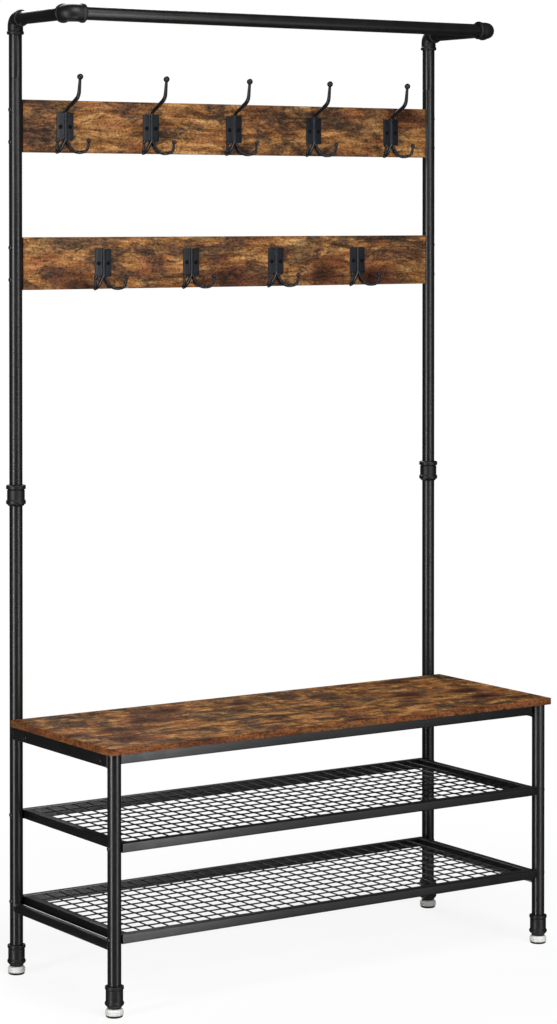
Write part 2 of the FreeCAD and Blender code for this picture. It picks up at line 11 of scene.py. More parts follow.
import bmesh
import bpy
import numpy as np
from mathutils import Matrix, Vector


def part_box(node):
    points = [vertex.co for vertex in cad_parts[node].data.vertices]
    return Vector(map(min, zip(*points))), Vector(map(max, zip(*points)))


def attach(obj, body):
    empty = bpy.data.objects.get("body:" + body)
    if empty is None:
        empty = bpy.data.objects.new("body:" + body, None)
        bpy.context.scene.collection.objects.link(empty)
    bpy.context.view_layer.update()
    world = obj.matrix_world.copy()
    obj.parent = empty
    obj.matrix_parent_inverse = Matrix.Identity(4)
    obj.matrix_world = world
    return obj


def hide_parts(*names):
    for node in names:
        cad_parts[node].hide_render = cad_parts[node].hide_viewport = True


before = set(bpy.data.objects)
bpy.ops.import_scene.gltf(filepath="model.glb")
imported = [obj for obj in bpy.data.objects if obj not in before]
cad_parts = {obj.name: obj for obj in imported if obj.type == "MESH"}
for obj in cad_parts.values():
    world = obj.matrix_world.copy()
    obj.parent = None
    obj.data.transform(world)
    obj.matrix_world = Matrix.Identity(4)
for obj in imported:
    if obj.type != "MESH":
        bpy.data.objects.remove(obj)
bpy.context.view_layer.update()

# %% [markdown]
# ## Sizes from the frame
# Nothing is measured twice. Every length below is read from the box of a CAD node, so a change
# in the CAD model carries over. Millimetres are easier to think in, so small sizes that belong
# to the finish, such as a rolled edge, are written as a number times `MM`.

# %% Read the sizes
MM = 0.001
CORNERS = ("front_left", "front_right", "rear_left", "rear_right")
SIDES = {"left": -1.0, "right": 1.0}


def span(node):
    """The lowest corner, the highest corner and the middle of a CAD node, as arrays."""
    low, high = (np.array(corner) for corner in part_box(node))
    return low, high, (low + high) / 2


def width(node, axis):
    """How far a CAD node reaches along axis 0, 1 or 2."""
    low, high, _ = span(node)
    return high[axis] - low[axis]


TUBE_R = width("hanging_rail", 2) / 2
LEG = {corner: span("glide_base_" + corner)[2][:2] for corner in CORNERS}
LEG_X = LEG["front_right"][0]
LEG_Y = LEG["front_right"][1]
POST_Y = LEG["rear_right"][1]
RAIL_Y = span("hanging_rail")[2][1]
TOP_Z = span("hanging_rail")[2][2]
print("tube radius", round(TUBE_R / MM, 2), "mm; legs at x", round(LEG_X, 4), "y", round(LEG_Y, 4))

# %% [markdown]
# ## Surfaces from grids
# A grid of points is a function of two parameters: row by row, `u`, and round each row, `v`.
# Joining each point to its neighbours makes four-sided faces. Python could loop over them, but
# numpy does all of them at once by shifting the table of point numbers by one row and one column.


# %% Grids to meshes
def patch(grid, wrap_u=False, wrap_v=True, caps=True, material=0):
    """Faces between neighbours of a (rows, columns, 3) grid, as (points, faces, material).

    wrap_v joins the last column to the first, wrap_u the last row to the first. An open row of
    a wrapped grid is closed with one flat face when caps is set.
    """
    rows, columns = grid.shape[:2]
    index = np.arange(rows * columns).reshape(rows, columns)
    here = index if wrap_u else index[:-1]
    above = np.roll(index, -1, axis=0) if wrap_u else index[1:]
    if wrap_v:
        east, north_east = np.roll(here, -1, axis=1), np.roll(above, -1, axis=1)
        quads = np.stack([here, east, north_east, above], axis=-1)
    else:
        quads = np.stack([here[:, :-1], here[:, 1:], above[:, 1:], above[:, :-1]], axis=-1)
    faces = quads.reshape(-1, 4).tolist()
    if caps and wrap_v and not wrap_u:
        faces += [index[0][::-1].tolist(), index[-1].tolist()]
    return grid.reshape(-1, 3), faces, material


def build(name, patches, materials, body="frame", replaces=(), sharp=40.0):
    """One object from several patches. Its faces are turned outwards, and it rides on a body."""
    points, faces, numbers = [], [], []
    start = 0
    for patch_points, patch_faces, material in patches:
        points.append(patch_points)
        faces += [[start + k for k in face] for face in patch_faces]
        numbers += [material] * len(patch_faces)
        start += len(patch_points)
    mesh = bpy.data.meshes.new(name)
    mesh.from_pydata(np.concatenate(points).tolist(), [], faces)
    for material in materials:
        mesh.materials.append(material)
    mesh.polygons.foreach_set("material_index", numbers)
    shell = bmesh.new()
    shell.from_mesh(mesh)
    bmesh.ops.remove_doubles(shell, verts=shell.verts, dist=1e-6)
    bmesh.ops.recalc_face_normals(shell, faces=shell.faces)
    shell.to_mesh(mesh)
    shell.free()
    mesh.shade_smooth()
    mesh.set_sharp_from_angle(angle=math.radians(sharp))
    piece = bpy.data.objects.new(name, mesh)
    bpy.context.scene.collection.objects.link(piece)
    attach(piece, body)
    if replaces:
        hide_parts(*replaces)
    made[name] = len(mesh.polygons)
    return piece


made = {}

# %% [markdown]
# ## Three ways to make a surface
# Nearly all of this object is one of three shapes. A **turned** shape is a profile of
# (radius, height) carried round an axis: fittings, feet, screws. A **swept** shape is a circle
# carried along a path: tubes, wires, prongs, weld beads. A **bar** is a rounded rectangle carried
# along a straight line whose ends draw in: square tube and boards. Real edges are never sharp,
# so `soften` rounds the corners of any outline with a short curve.


# %% Turned, swept and bar surfaces
def soften(outline, radius, steps=4, closed=False):
    """Round the corners of an outline.

    Each corner C becomes the curve (1-t)^2 A + 2t(1-t) C + t^2 B, where A and B lie on the two
    sides, `radius` away from C or half way along the side, whichever is nearer.
    """
    outline = np.asarray(outline, float)
    before, after = np.roll(outline, 1, axis=0), np.roll(outline, -1, axis=0)
    t = np.linspace(0, 1, steps)[None, :, None]
    ends = []
    for other in (before, after):
        side = other - outline
        length = np.linalg.norm(side, axis=1, keepdims=True) + 1e-12
        ends.append(outline + side / length * np.minimum(radius, length * 0.48))
    a, b, c = ends[0][:, None], ends[1][:, None], outline[:, None]
    curve = (1 - t) ** 2 * a + 2 * t * (1 - t) * c + t ** 2 * b
    if closed:
        return curve.reshape(-1, outline.shape[1])
    inner = curve[1:-1].reshape(-1, outline.shape[1])
    return np.concatenate([outline[:1], inner, outline[-1:]])


def perpendicular(axis):
    """Two unit vectors square to an axis and to each other."""
    axis = np.asarray(axis, float) / np.linalg.norm(axis)
    helper = np.array([0.0, 0.0, 1.0]) if abs(axis[2]) < 0.9 else np.array([1.0, 0.0, 0.0])
    first = np.cross(axis, helper)
    first /= np.linalg.norm(first)
    return first, np.cross(axis, first)


def turned(profile, foot, axis=(0, 0, 1), ring=40, hollow=False, material=0):
    """P(u, v) = foot + height(u) axis + radius(u) (cos v e1 + sin v e2).

    A hollow profile is a closed outline, so its last row joins its first.
    """
    profile = np.asarray(profile, float)
    axis = np.asarray(axis, float)
    first, second = perpendicular(axis)
    angle = np.linspace(0, 2 * np.pi, ring, endpoint=False)
    round_way = np.cos(angle)[:, None] * first + np.sin(angle)[:, None] * second
    grid = (np.asarray(foot, float) + profile[:, None, 1:2] * axis
            + profile[:, None, 0:1] * round_way[None])
    return patch(grid, wrap_u=hollow, material=material)


def swept(path, radius, side, ring=16, closed=False, flatten=1.0, material=0):
    """P(u, v) = C(u) + r(u) (cos v N(u) + flatten sin v B(u)).

    T is the path's direction, B is square to T and to the given side vector, and N is square to
    both. `side` is one vector for a flat path, or one for each point of a path on a surface.
    """
    path = np.asarray(path, float)
    if closed:
        along = np.roll(path, -1, axis=0) - np.roll(path, 1, axis=0)
    else:
        along = np.gradient(path, axis=0)
    along /= np.linalg.norm(along, axis=1, keepdims=True)
    side = np.broadcast_to(np.asarray(side, float), path.shape)
    across = np.cross(along, side)
    across /= np.linalg.norm(across, axis=1, keepdims=True)
    normal = np.cross(across, along)
    radius = np.broadcast_to(np.asarray(radius, float), len(path))[:, None, None]
    angle = np.linspace(0, 2 * np.pi, ring, endpoint=False)[None, :, None]
    grid = path[:, None] + radius * (np.cos(angle) * normal[:, None]
                                     + flatten * np.sin(angle) * across[:, None])
    return patch(grid, wrap_u=closed, material=material)


def rounded_rectangle(half_a, half_b, radius, steps=5):
    """The outline of a rectangle with round corners, as (a, b) pairs, going round once."""
    corners = np.array([[1, 1], [-1, 1], [-1, -1], [1, -1]], float)
    quarter = np.linspace(0, np.pi / 2, steps)
    starts = np.arange(4) * np.pi / 2
    angle = starts[:, None] + quarter[None]
    centre = corners[:, None] * np.array([half_a - radius, half_b - radius])
    arcs = centre + radius * np.stack([np.cos(angle), np.sin(angle)], axis=-1)
    return arcs.reshape(-1, 2)


def bar(low, high, axis, edge, end_edge=None, material=0):
    """A bar between two corners of a box: a rounded rectangle carried along `axis`.

    Near each end the section draws in by r (1 - sin t) while it moves out by r cos t, with t from
    0 at the end face to a quarter turn on the side, which rolls the end over like the long edges.
    """
    low, high = np.asarray(low, float), np.asarray(high, float)
    end_edge = edge if end_edge is None else end_edge
    a, b = [k for k in range(3) if k != axis]
    half = (high - low) / 2
    t = np.linspace(0, np.pi / 2, 5)
    t = np.concatenate([t, t[::-1]])
    out = half[axis] - end_edge * (1 - np.cos(t))
    inset = end_edge * (1 - np.sin(t))
    section = rounded_rectangle(half[a], half[b], edge)
    drawn_in = np.maximum(np.abs(section)[None] - inset[:, None, None], 0)
    grid = np.zeros((len(t), len(section), 3))
    grid[..., axis] = (out * np.repeat([-1, 1], len(t) // 2))[:, None]
    grid[..., [a, b]] = np.sign(section) * drawn_in
    return patch(grid + (low + high) / 2, material=material)


# %% [markdown]
# ## Camera
# A long lens from well back keeps the uprights upright. The camera could simply be aimed at the
# middle of the object, but then the posts would lean. So it looks down by under a degree, and
# the rest of the framing is lens shift, which moves the picture without tilting anything.

# %% Camera
CAMERA_PLACE = (-3.1945, -4.7497, 1.4431)
CAMERA_HEADING = 33.80      # degrees, from +Y towards +X
CAMERA_DIP = 0.832          # degrees below level
LENS = 104.06               # for a frame 36 mm tall
SHIFT_RIGHT = 0.0023        # shares of the frame's height
SHIFT_DOWN = 0.249

lens = bpy.data.cameras.new("camera")
lens.lens = LENS
lens.sensor_width = 36.0
lens.shift_x = SHIFT_RIGHT
lens.shift_y = -SHIFT_DOWN
lens.clip_end = 200.0
camera = bpy.data.objects.new("camera", lens)
camera.location = CAMERA_PLACE
camera.rotation_euler = (math.radians(90 - CAMERA_DIP), 0, math.radians(-CAMERA_HEADING))
bpy.context.scene.collection.objects.link(camera)
bpy.context.scene.camera = camera
print("camera", [round(c, 3) for c in camera.location])


# %% [markdown]
# ## Floor and light
# A round black tube shows its lights and little else. A white room would turn it grey all over,
# so the room is white only to the eye and dim to everything else, and two tall soft boxes, one
# each side, put two soft stripes on every tube. The floor is a plain pale floor to the eye. In
# reflections it is a satin mirror, or the stripes would stop short of the feet. A low card in
# front lights the flat faces of the rails, and a big box above lights the wood.


# %% Floor
def add(tree, kind, inputs=None, **settings):
    """One shader node with its settings and inputs; an input is a value or another's output."""
    node = tree.nodes.new(kind)
    for key, value in settings.items():
        setattr(node, key, value)
    for key, value in (inputs or {}).items():
        if isinstance(value, bpy.types.NodeSocket):
            tree.links.new(value, node.inputs[key])
        else:
            node.inputs[key].default_value = value
    return node


FLOOR_REACH = 60.0
FLOOR_SIDES = 64
# P(u, v) = u (cos v, sin v, 0): rings round the origin, and one face in the middle.
distance, angle = np.meshgrid(np.linspace(0.01, FLOOR_REACH, 12),
                              np.linspace(0, 2 * np.pi, FLOOR_SIDES, endpoint=False),
                              indexing="ij")
floor_grid = np.stack([distance * np.cos(angle), distance * np.sin(angle),
                       np.zeros_like(angle)], axis=-1)
floor_points, floor_faces, _ = patch(floor_grid, caps=False)
floor_mesh = bpy.data.meshes.new("floor")
floor_mesh.from_pydata(floor_points.tolist(), [], floor_faces + [list(range(FLOOR_SIDES))])
floor = bpy.data.objects.new("floor", floor_mesh)
bpy.context.scene.collection.objects.link(floor)

floor_finish = bpy.data.materials.new("pale_floor")
floor_finish.use_nodes = True
tree = floor_finish.node_tree
floor_shader = tree.nodes["Principled BSDF"]
floor_shader.inputs["Specular IOR Level"].default_value = 0.1
seen = add(tree, "ShaderNodeLightPath").outputs["Is Camera Ray"]
glow = add(tree, "ShaderNodeEmission", {"Strength": seen})
# Each socket in reflections, and to the eye.
FLOOR_LOOKS = {"Base Color": (0.6, 0.95), "Metallic": (1.0, 0.0), "Roughness": (0.16, 0.9)}
for socket, (reflected, direct) in FLOOR_LOOKS.items():
    switch = add(tree, "ShaderNodeMapRange", {"Value": seen, "To Min": reflected,
                                              "To Max": direct})
    tree.links.new(switch.outputs["Result"], floor_shader.inputs[socket])
# Shadows fade out between these distances from the origin, into even white.
FADE_FROM, FADE_TO = 0.6, 1.6
LEAST_WHITE = 0.86
place = add(tree, "ShaderNodeTexCoord").outputs["Object"]
reach = add(tree, "ShaderNodeVectorMath", {0: place}, operation="LENGTH").outputs["Value"]
white = add(tree, "ShaderNodeMapRange", {"Value": reach, "From Min": FADE_FROM,
                                         "From Max": FADE_TO, "To Min": LEAST_WHITE},
            interpolation_type="SMOOTHSTEP").outputs["Result"]
white = add(tree, "ShaderNodeMath", {0: white, 1: seen}, operation="MULTIPLY").outputs[0]
blend = add(tree, "ShaderNodeMixShader", {0: white, 1: floor_shader.outputs["BSDF"],
                                          2: glow.outputs["Emission"]})
tree.links.new(blend.outputs["Shader"], tree.nodes["Material Output"].inputs["Surface"])
floor_mesh.materials.append(floor_finish)
print("floor", len(floor_mesh.polygons), "faces")

# %% Room and lights
ROOM_LIGHT = 0.06           # what the room gives to the object; to the eye it is 1
world = bpy.data.worlds.new("studio")
world.use_nodes = True
backdrop = world.node_tree.nodes["Background"]
backdrop.inputs["Color"].default_value = (1, 1, 1, 1)
seen = add(world.node_tree, "ShaderNodeLightPath").outputs["Is Camera Ray"]
paper = add(world.node_tree, "ShaderNodeMapRange", {"Value": seen, "To Min": ROOM_LIGHT,
                                                    "To Max": 1.0}).outputs["Result"]
world.node_tree.links.new(paper, backdrop.inputs["Strength"])
bpy.context.scene.world = world
bpy.context.scene.view_settings.view_transform = "Standard"


def soft_box(name, heading, reach, height, size, brightness, aim=(0, 0, 0.9)):
    """A soft box `reach` metres from the object, `heading` degrees round from straight ahead.

    Its power is brightness times pi times its area, so `brightness` is how white it would look.
    """
    light = bpy.data.lights.new(name, "AREA")
    light.shape = "RECTANGLE"
    light.size, light.size_y = size
    light.energy = brightness * math.pi * size[0] * size[1]
    lamp = bpy.data.objects.new(name, light)
    turn = math.radians(heading)
    place = np.array([math.sin(turn) * reach, -math.cos(turn) * reach, height])
    lamp.location = place
    towards = np.array(aim) - place
    lamp.rotation_euler = (math.atan2(np.hypot(*towards[:2]), -towards[2]), 0,
                           math.atan2(towards[1], towards[0]) - math.pi / 2)
    bpy.context.scene.collection.objects.link(lamp)
    return lamp


# The two tall boxes stand 44 and 45 degrees to either side of the line to the camera.
TALL = (0.5, 2.8)
soft_box("left_box", -CAMERA_HEADING - 44, 3.2, 1.1, TALL, 17.0)
soft_box("right_box", -CAMERA_HEADING + 45, 3.2, 1.1, TALL, 9.0)
# The card stands where a face that looks straight ahead mirrors the camera.
soft_box("front_card", 34, 3.2, 0.65, (1.3, 1.3), 1.0, aim=(0, 0, 0.4))
soft_box("key_box", -12, 2.9, 3.9, (2.2, 2.2), 10.0)
soft_box("rear_box", 165, 3.0, 3.4, (1.8, 1.8), 7.0)
print("lights", [lamp.name for lamp in bpy.data.lights])

# %% [markdown]
# ## Powder coat, cast iron and enamel
# Powder coat is a plastic skin baked onto steel. It is satin, and up close it has the faint
# dimples called orange peel. A picture of a surface could be wrapped round each tube, but a noise
# read at each point in space costs nothing, has no seams and is the same size on every piece.
# The dimples only bend the light, so they go into the bump, not into the shape.


# %% Helpers for materials
def srgb(red, green, blue):
    """A screen colour, 0 to 255, as the linear colour that a shader takes."""
    value = np.array([red, green, blue], float) / 255
    linear = np.where(value <= 0.04045, value / 12.92, ((value + 0.055) / 1.055) ** 2.4)
    return (*linear.tolist(), 1.0)


def new_material(name, roughness=0.5, specular=0.5, **sockets):
    """A named material with its tree and its shader; even values sit on the shader itself."""
    material = bpy.data.materials.new(name)
    material.use_nodes = True
    shader = material.node_tree.nodes["Principled BSDF"]
    shader.inputs["Roughness"].default_value = roughness
    shader.inputs["Specular IOR Level"].default_value = specular
    for key, value in sockets.items():
        shader.inputs[key].default_value = value
    return material, material.node_tree, shader


def object_point(tree, scale=(1, 1, 1), shift=(0, 0, 0)):
    """The point on the piece, in metres, stretched and moved."""
    coordinates = add(tree, "ShaderNodeTexCoord")
    mapping = add(tree, "ShaderNodeMapping", {"Vector": coordinates.outputs["Object"],
                                              "Scale": scale, "Location": shift})
    return mapping.outputs["Vector"]


def noise(tree, point, scale, detail=4.0, roughness=0.5, distortion=0.0):
    """Soft random clouds, 0 to 1; `scale` is how many fit in a metre."""
    node = add(tree, "ShaderNodeTexNoise", {
        "Vector": point, "Scale": scale, "Detail": detail, "Roughness": roughness,
        "Distortion": distortion})
    return node.outputs[0]


def ramp(tree, factor, stops):
    """Turn a number into a colour, or a grey, between stops of (place, colour)."""
    node = add(tree, "ShaderNodeValToRGB", {"Fac": factor})
    line = node.color_ramp
    while len(line.elements) < len(stops):
        line.elements.new(0.5)
    for element, (place, colour) in zip(line.elements, stops):
        element.position = place
        element.color = colour if hasattr(colour, "__len__") else (colour, colour, colour, 1)
    return node.outputs["Color"]


def mix(tree, factor, first, second, blend="MIX"):
    """Lay the second colour over the first, by a factor from 0 to 1."""
    node = add(tree, "ShaderNodeMix", data_type="RGBA", blend_type=blend)
    for socket, value in zip((node.inputs[0], node.inputs[6], node.inputs[7]),
                             (factor, first, second)):
        if isinstance(value, bpy.types.NodeSocket):
            tree.links.new(value, socket)
        else:
            socket.default_value = value
    return node.outputs[2]


def math_node(tree, operation, first, second=0.0, clamp=False):
    """Arithmetic on one or two numbers."""
    return add(tree, "ShaderNodeMath", {0: first, 1: second}, operation=operation,
               use_clamp=clamp).outputs[0]


def bump(tree, shader, height, strength, depth):
    """Make the surface look raised where `height` is high; depth is in metres."""
    node = add(tree, "ShaderNodeBump", {"Height": height, "Strength": strength,
                                        "Distance": depth})
    tree.links.new(node.outputs["Normal"], shader.inputs["Normal"])


# %% Metal finishes
def coated_metal(name, dark, light, roughness, specular, dimple_scale, dimple_depth,
                 handled=0.0):
    """A coated metal: its colour drifts between two shades, its gloss varies, it is dimpled."""
    material, tree, shader = new_material(name, roughness, specular)
    drift = noise(tree, object_point(tree), 9.0, 3.0)
    dust_grey, dust_amount = srgb(60, 60, 62), 0.15
    dimples = noise(tree, object_point(tree), dimple_scale, 3.0, 0.55)
    colour = ramp(tree, drift, [(0.3, dark), (0.72, light)])
    dust = ramp(tree, noise(tree, object_point(tree), 900.0, 2.0), [(0.62, 0.0), (0.8, 1.0)])
    speckled = mix(tree, math_node(tree, "MULTIPLY", dust, dust_amount), colour, dust_grey)
    tree.links.new(speckled, shader.inputs["Base Color"])
    smears = ramp(tree, noise(tree, object_point(tree, (1, 1, 0.4)), 26.0, 5.0, 0.6, 0.4),
                  [(0.3, roughness - 0.05 - handled), (0.75, roughness + 0.07)])
    tree.links.new(smears, shader.inputs["Roughness"])
    bump(tree, shader, dimples, 0.35, dimple_depth)
    return material


TUBE_COAT = coated_metal("black_powder_coat", srgb(11, 11, 12), srgb(17, 17, 18),
                         0.33, 0.5, 620.0, 0.03 * MM)
FITTING_COAT = coated_metal("black_cast_fitting", srgb(12, 12, 13), srgb(20, 20, 21),
                            0.46, 0.33, 430.0, 0.05 * MM)
WIRE_COAT = coated_metal("black_wire_coat", srgb(10, 10, 11), srgb(16, 16, 17),
                         0.36, 0.4, 700.0, 0.03 * MM)
HOOK_ENAMEL = coated_metal("slate_hook_enamel", srgb(11, 14, 18), srgb(23, 28, 34),
                           0.34, 0.32, 380.0, 0.06 * MM, handled=0.04)
BOLT_OXIDE = coated_metal("black_oxide_bolts", srgb(7, 7, 8), srgb(14, 14, 15),
                          0.34, 0.5, 800.0, 0.02 * MM)
SCREW_BLACK = coated_metal("blackened_screws", srgb(4, 4, 4), srgb(8, 8, 9),
                           0.6, 0.12, 800.0, 0.02 * MM)
print("metal finishes made")

# %% [markdown]
# ## Zinc, white plastic and rubber
# The feet are three plain materials, but none is one flat colour: zinc has a cloudy plate, the
# white moulding is slightly mottled and has a painted shade low down, and the rubber pad is matt.

# %% Foot finishes
def zinc_plate():
    material, tree, shader = new_material("zinc_plate", 0.32, 0.5, Metallic=1.0)
    clouds = noise(tree, object_point(tree), 160.0, 4.0)
    tree.links.new(ramp(tree, clouds, [(0.3, srgb(150, 150, 146)), (0.7, srgb(186, 186, 180))]),
                   shader.inputs["Base Color"])
    tree.links.new(ramp(tree, clouds, [(0.3, 0.26), (0.7, 0.42)]), shader.inputs["Roughness"])
    return material


def white_moulding():
    material, tree, shader = new_material("white_moulding", 0.42, 0.5)
    mottle = noise(tree, object_point(tree), 240.0, 4.0)
    mottled_white = ramp(tree, mottle, [(0.3, srgb(206, 206, 202)), (0.7, srgb(222, 222, 219))])
    # Painted shade: the lowest few millimetres of the moulding, next to the floor, are mixed
    # towards grey.
    height = add(tree, "ShaderNodeSeparateXYZ", {0: object_point(tree)}).outputs["Z"]
    low = add(tree, "ShaderNodeMapRange", {"Value": height, "From Min": 0.004,
                                           "From Max": 0.009, "To Min": 0.35, "To Max": 0.0})
    tree.links.new(mix(tree, low.outputs[0], mottled_white, srgb(150, 148, 142)),
                   shader.inputs["Base Color"])
    bump(tree, shader, mottle, 0.2, 0.05 * MM)
    return material


def pad_rubber():
    material, tree, shader = new_material("pad_rubber", 0.85, 0.3)
    grain = noise(tree, object_point(tree), 900.0, 3.0)
    tree.links.new(ramp(tree, grain, [(0.3, srgb(24, 24, 24)), (0.7, srgb(40, 40, 39))]),
                   shader.inputs["Base Color"])
    bump(tree, shader, grain, 0.5, 0.08 * MM)
    return material


ZINC = zinc_plate()
WHITE = white_moulding()
RUBBER = pad_rubber()

# %% [markdown]
# ## Rustic wood
# The boards are particle board with a printed foil that copies old scorched planks: honey brown,
# with smoky stains that follow the grain, a few knots and a fine sawn speckle. One noise can't
# look like that, and a picture would repeat. Here simple noises are laid over each other, from
# large to small. Each is stretched along X, because a cloud stretched along the board is what
# grain is. The point is first pushed about by a slow noise, so that the grain wanders as it does
# in a real plank.


# %% Wood layers
def wood_stains(smoke_amount, streak_amount):
    """The stains over the grain, from below: ruddy and olive tints, smoke, flecks and scorch.

    Each has its clouds (in a metre along, in a metre across, detail, roughness, distortion and
    shift), the levels where it starts and is full, its strength, whether its edge is ragged,
    and its colour.
    """
    return (
        ((9.0, 26.0, 4.0, 0.6, 0.4, 13.0), (0.52, 0.62), 0.45, False, srgb(146, 84, 54)),
        ((7.0, 20.0, 4.0, 0.6, 0.4, 23.0), (0.53, 0.63), 0.5, False, srgb(98, 82, 56)),
        ((8.0, 17.0, 5.0, 0.6, 1.1, 31.0), (0.505, 0.57), smoke_amount, True, srgb(52, 43, 40)),
        ((20.0, 52.0, 5.0, 0.65, 0.5, 41.0), (0.54, 0.61), 0.8, True, srgb(60, 41, 30)),
        ((3.4, 28.0, 6.0, 0.66, 1.2, 53.0), (0.55, 0.63), streak_amount, True, srgb(36, 29, 26)),
    )


def wandering_point(tree, seed):
    """The point on the board, moved to its own part of the noise and pushed by a slow noise."""
    start = object_point(tree, shift=seed)
    wander = add(tree, "ShaderNodeTexNoise", {"Vector": start, "Scale": 6.0, "Detail": 2.0})
    pushed = add(tree, "ShaderNodeVectorMath", {0: wander.outputs["Color"], 1: (0.5, 0.5, 0.5)},
                 operation="SUBTRACT").outputs[0]
    pushed = add(tree, "ShaderNodeVectorMath", {0: pushed, 1: (0.06, 0.025, 0.025)},
                 operation="MULTIPLY").outputs[0]
    return add(tree, "ShaderNodeVectorMath", {0: start, 1: pushed}, operation="ADD").outputs[0]


def knots(tree, point):
    """How much of a knot's halo and of its heart a point is in, each from 0 to 1.

    The board's face is cut into cells, 5 in a metre along and 9 across. Across is Y + Z, so one
    rule serves a board that lies and one that stands. About half of the cells hold a knot.
    """
    parts = add(tree, "ShaderNodeSeparateXYZ", {0: point}).outputs
    face = add(tree, "ShaderNodeCombineXYZ", {
        "X": math_node(tree, "MULTIPLY", parts["X"], 5.0),
        "Y": math_node(tree, "MULTIPLY", math_node(tree, "ADD", parts["Y"], parts["Z"]), 9.0)})
    cells = add(tree, "ShaderNodeTexVoronoi", {"Vector": face.outputs[0], "Scale": 1.0},
                voronoi_dimensions="2D")
    chosen = ramp(tree, cells.outputs["Color"], [(0.45, 0.0), (0.5, 1.0)])
    halo = ramp(tree, cells.outputs["Distance"], [(0.12, 0.75), (0.4, 0.0)])
    heart = ramp(tree, cells.outputs["Distance"], [(0.07, 1.0), (0.22, 0.0)])
    return [math_node(tree, "MULTIPLY", chosen, part) for part in (halo, heart)]


# %% Wood finish
def rustic_wood(name, seed, shades, smoke_amount, streak_amount, across_share=1.0,
                along_share=1.0, specular=0.10):
    """Layers, from below: grain, fine lines, stains, knots and sawn speckle.

    `shades` are the grain's colours from dark to light. The shares make all the clouds shorter
    or narrower, which a board that is seen from a low angle needs.
    """
    material, tree, shader = new_material(name, 0.62, specular)
    point = wandering_point(tree, seed)

    def clouds(along, across, detail, roughness=0.6, distortion=0.0, shift=0.0):
        """Noise with `along` clouds in a metre of length and `across` clouds over it."""
        along, across = along * along_share, across * across_share
        stretched = add(tree, "ShaderNodeVectorMath", {
            0: point, 1: (along, across, across), 2: (shift, shift, shift)},
            operation="MULTIPLY_ADD").outputs[0]
        return noise(tree, stretched, 1.0, detail, roughness, distortion)

    grain = clouds(11.0, 75.0, 8.0, 0.66, 0.5)
    colour = ramp(tree, grain, [(0.36, shades[0]), (0.46, shades[1]), (0.55, shades[2]),
                                (0.66, shades[3])])
    lines = clouds(26.0, 420.0, 3.0, 0.6, 0.0, 7.0)
    colour = mix(tree, 0.75, colour, ramp(tree, lines, [(0.36, 0.58), (0.56, 1.0)]), "MULTIPLY")
    ragged = ramp(tree, clouds(60.0, 210.0, 4.0, 0.7, 0.0, 5.0), [(0.34, 0.35), (0.6, 1.0)])
    for cloud, (start, full), strength, torn, tint in wood_stains(smoke_amount, streak_amount):
        amount = ramp(tree, clouds(*cloud), [(start, 0.0), (full, strength)])
        if torn:
            amount = math_node(tree, "MULTIPLY", amount, ragged)
        colour = mix(tree, amount, colour, tint)
    halo, heart = knots(tree, point)
    colour = mix(tree, halo, colour, srgb(96, 52, 34))
    colour = mix(tree, math_node(tree, "MULTIPLY", heart, ragged), colour, srgb(30, 20, 17))
    speckle = clouds(200.0, 300.0, 2.0, 0.6, 0.0, 61.0)
    colour = mix(tree, 0.9, colour, ramp(tree, speckle, [(0.38, 0.36), (0.5, 0.84),
                                                         (0.6, 1.0)]), "MULTIPLY")
    tree.links.new(colour, shader.inputs["Base Color"])
    tree.links.new(ramp(tree, grain, [(0.3, 0.66), (0.7, 0.5)]), shader.inputs["Roughness"])
    relief = math_node(tree, "ADD", grain, math_node(tree, "MULTIPLY", speckle, 0.6))
    bump(tree, shader, relief, 0.4, 0.12 * MM)
    return material


HONEY = (srgb(94, 61, 35), srgb(143, 95, 53), srgb(180, 127, 74), srgb(214, 165, 106))
BAND = (srgb(92, 53, 29), srgb(118, 70, 38), srgb(140, 86, 47), srgb(156, 102, 58))
AMBER = (srgb(84, 52, 27), srgb(142, 93, 49), srgb(186, 130, 72), srgb(222, 170, 104))
SEAT_WOOD = rustic_wood("seat_wood", (3.1, 0.4, 0.2), AMBER, 0.9, 0.95, 0.62, 1.7, specular=0.03)
BAND_WOOD = rustic_wood("seat_edge_band", (5.3, 2.4, 0.9), BAND, 0.15, 0.2)
UPPER_WOOD = rustic_wood("upper_board_wood", (1.7, 8.2, 0.31), HONEY, 0.9, 0.7)
LOWER_WOOD = rustic_wood("lower_board_wood", (7.9, 4.6, 0.87), HONEY, 0.9, 0.7)
print("wood finishes made")

# %% [markdown]
# ## Tubes
# A welded steel tube is a plain cylinder, so its skin is a turned shape: a profile of two corners
# carried round the axis, the ends slightly rolled. Where two lengths meet, those rolled ends
# leave the thin dark line that shows where the real thing comes apart.

# %% Tubes
TUBE_END = 0.7 * MM


def tube(node, axis):
    """The skin of a straight tube along axis 0, 1 or 2, as long and as wide as its CAD node."""
    low, high, centre = span(node)
    radius = (high[(axis + 1) % 3] - low[(axis + 1) % 3]) / 2
    length = high[axis] - low[axis]
    profile = soften([(0, 0), (radius, 0), (radius, length), (0, length)], TUBE_END)
    foot = centre.copy()
    foot[axis] = low[axis]
    direction = np.eye(3)[axis]
    return turned(profile, foot, direction, ring=48)


for side in SIDES:
    for node in ("front_leg_", "rear_post_lower_", "rear_post_upper_"):
        build(node + side + "_skin", [tube(node + side, 2)], [TUBE_COAT],
              replaces=[node + side])
    build("top_arm_" + side + "_skin", [tube("top_arm_" + side, 1)], [TUBE_COAT],
          replaces=["top_arm_" + side])
build("hanging_rail_skin", [tube("hanging_rail", 0)], [TUBE_COAT],
      replaces=["hanging_rail"])

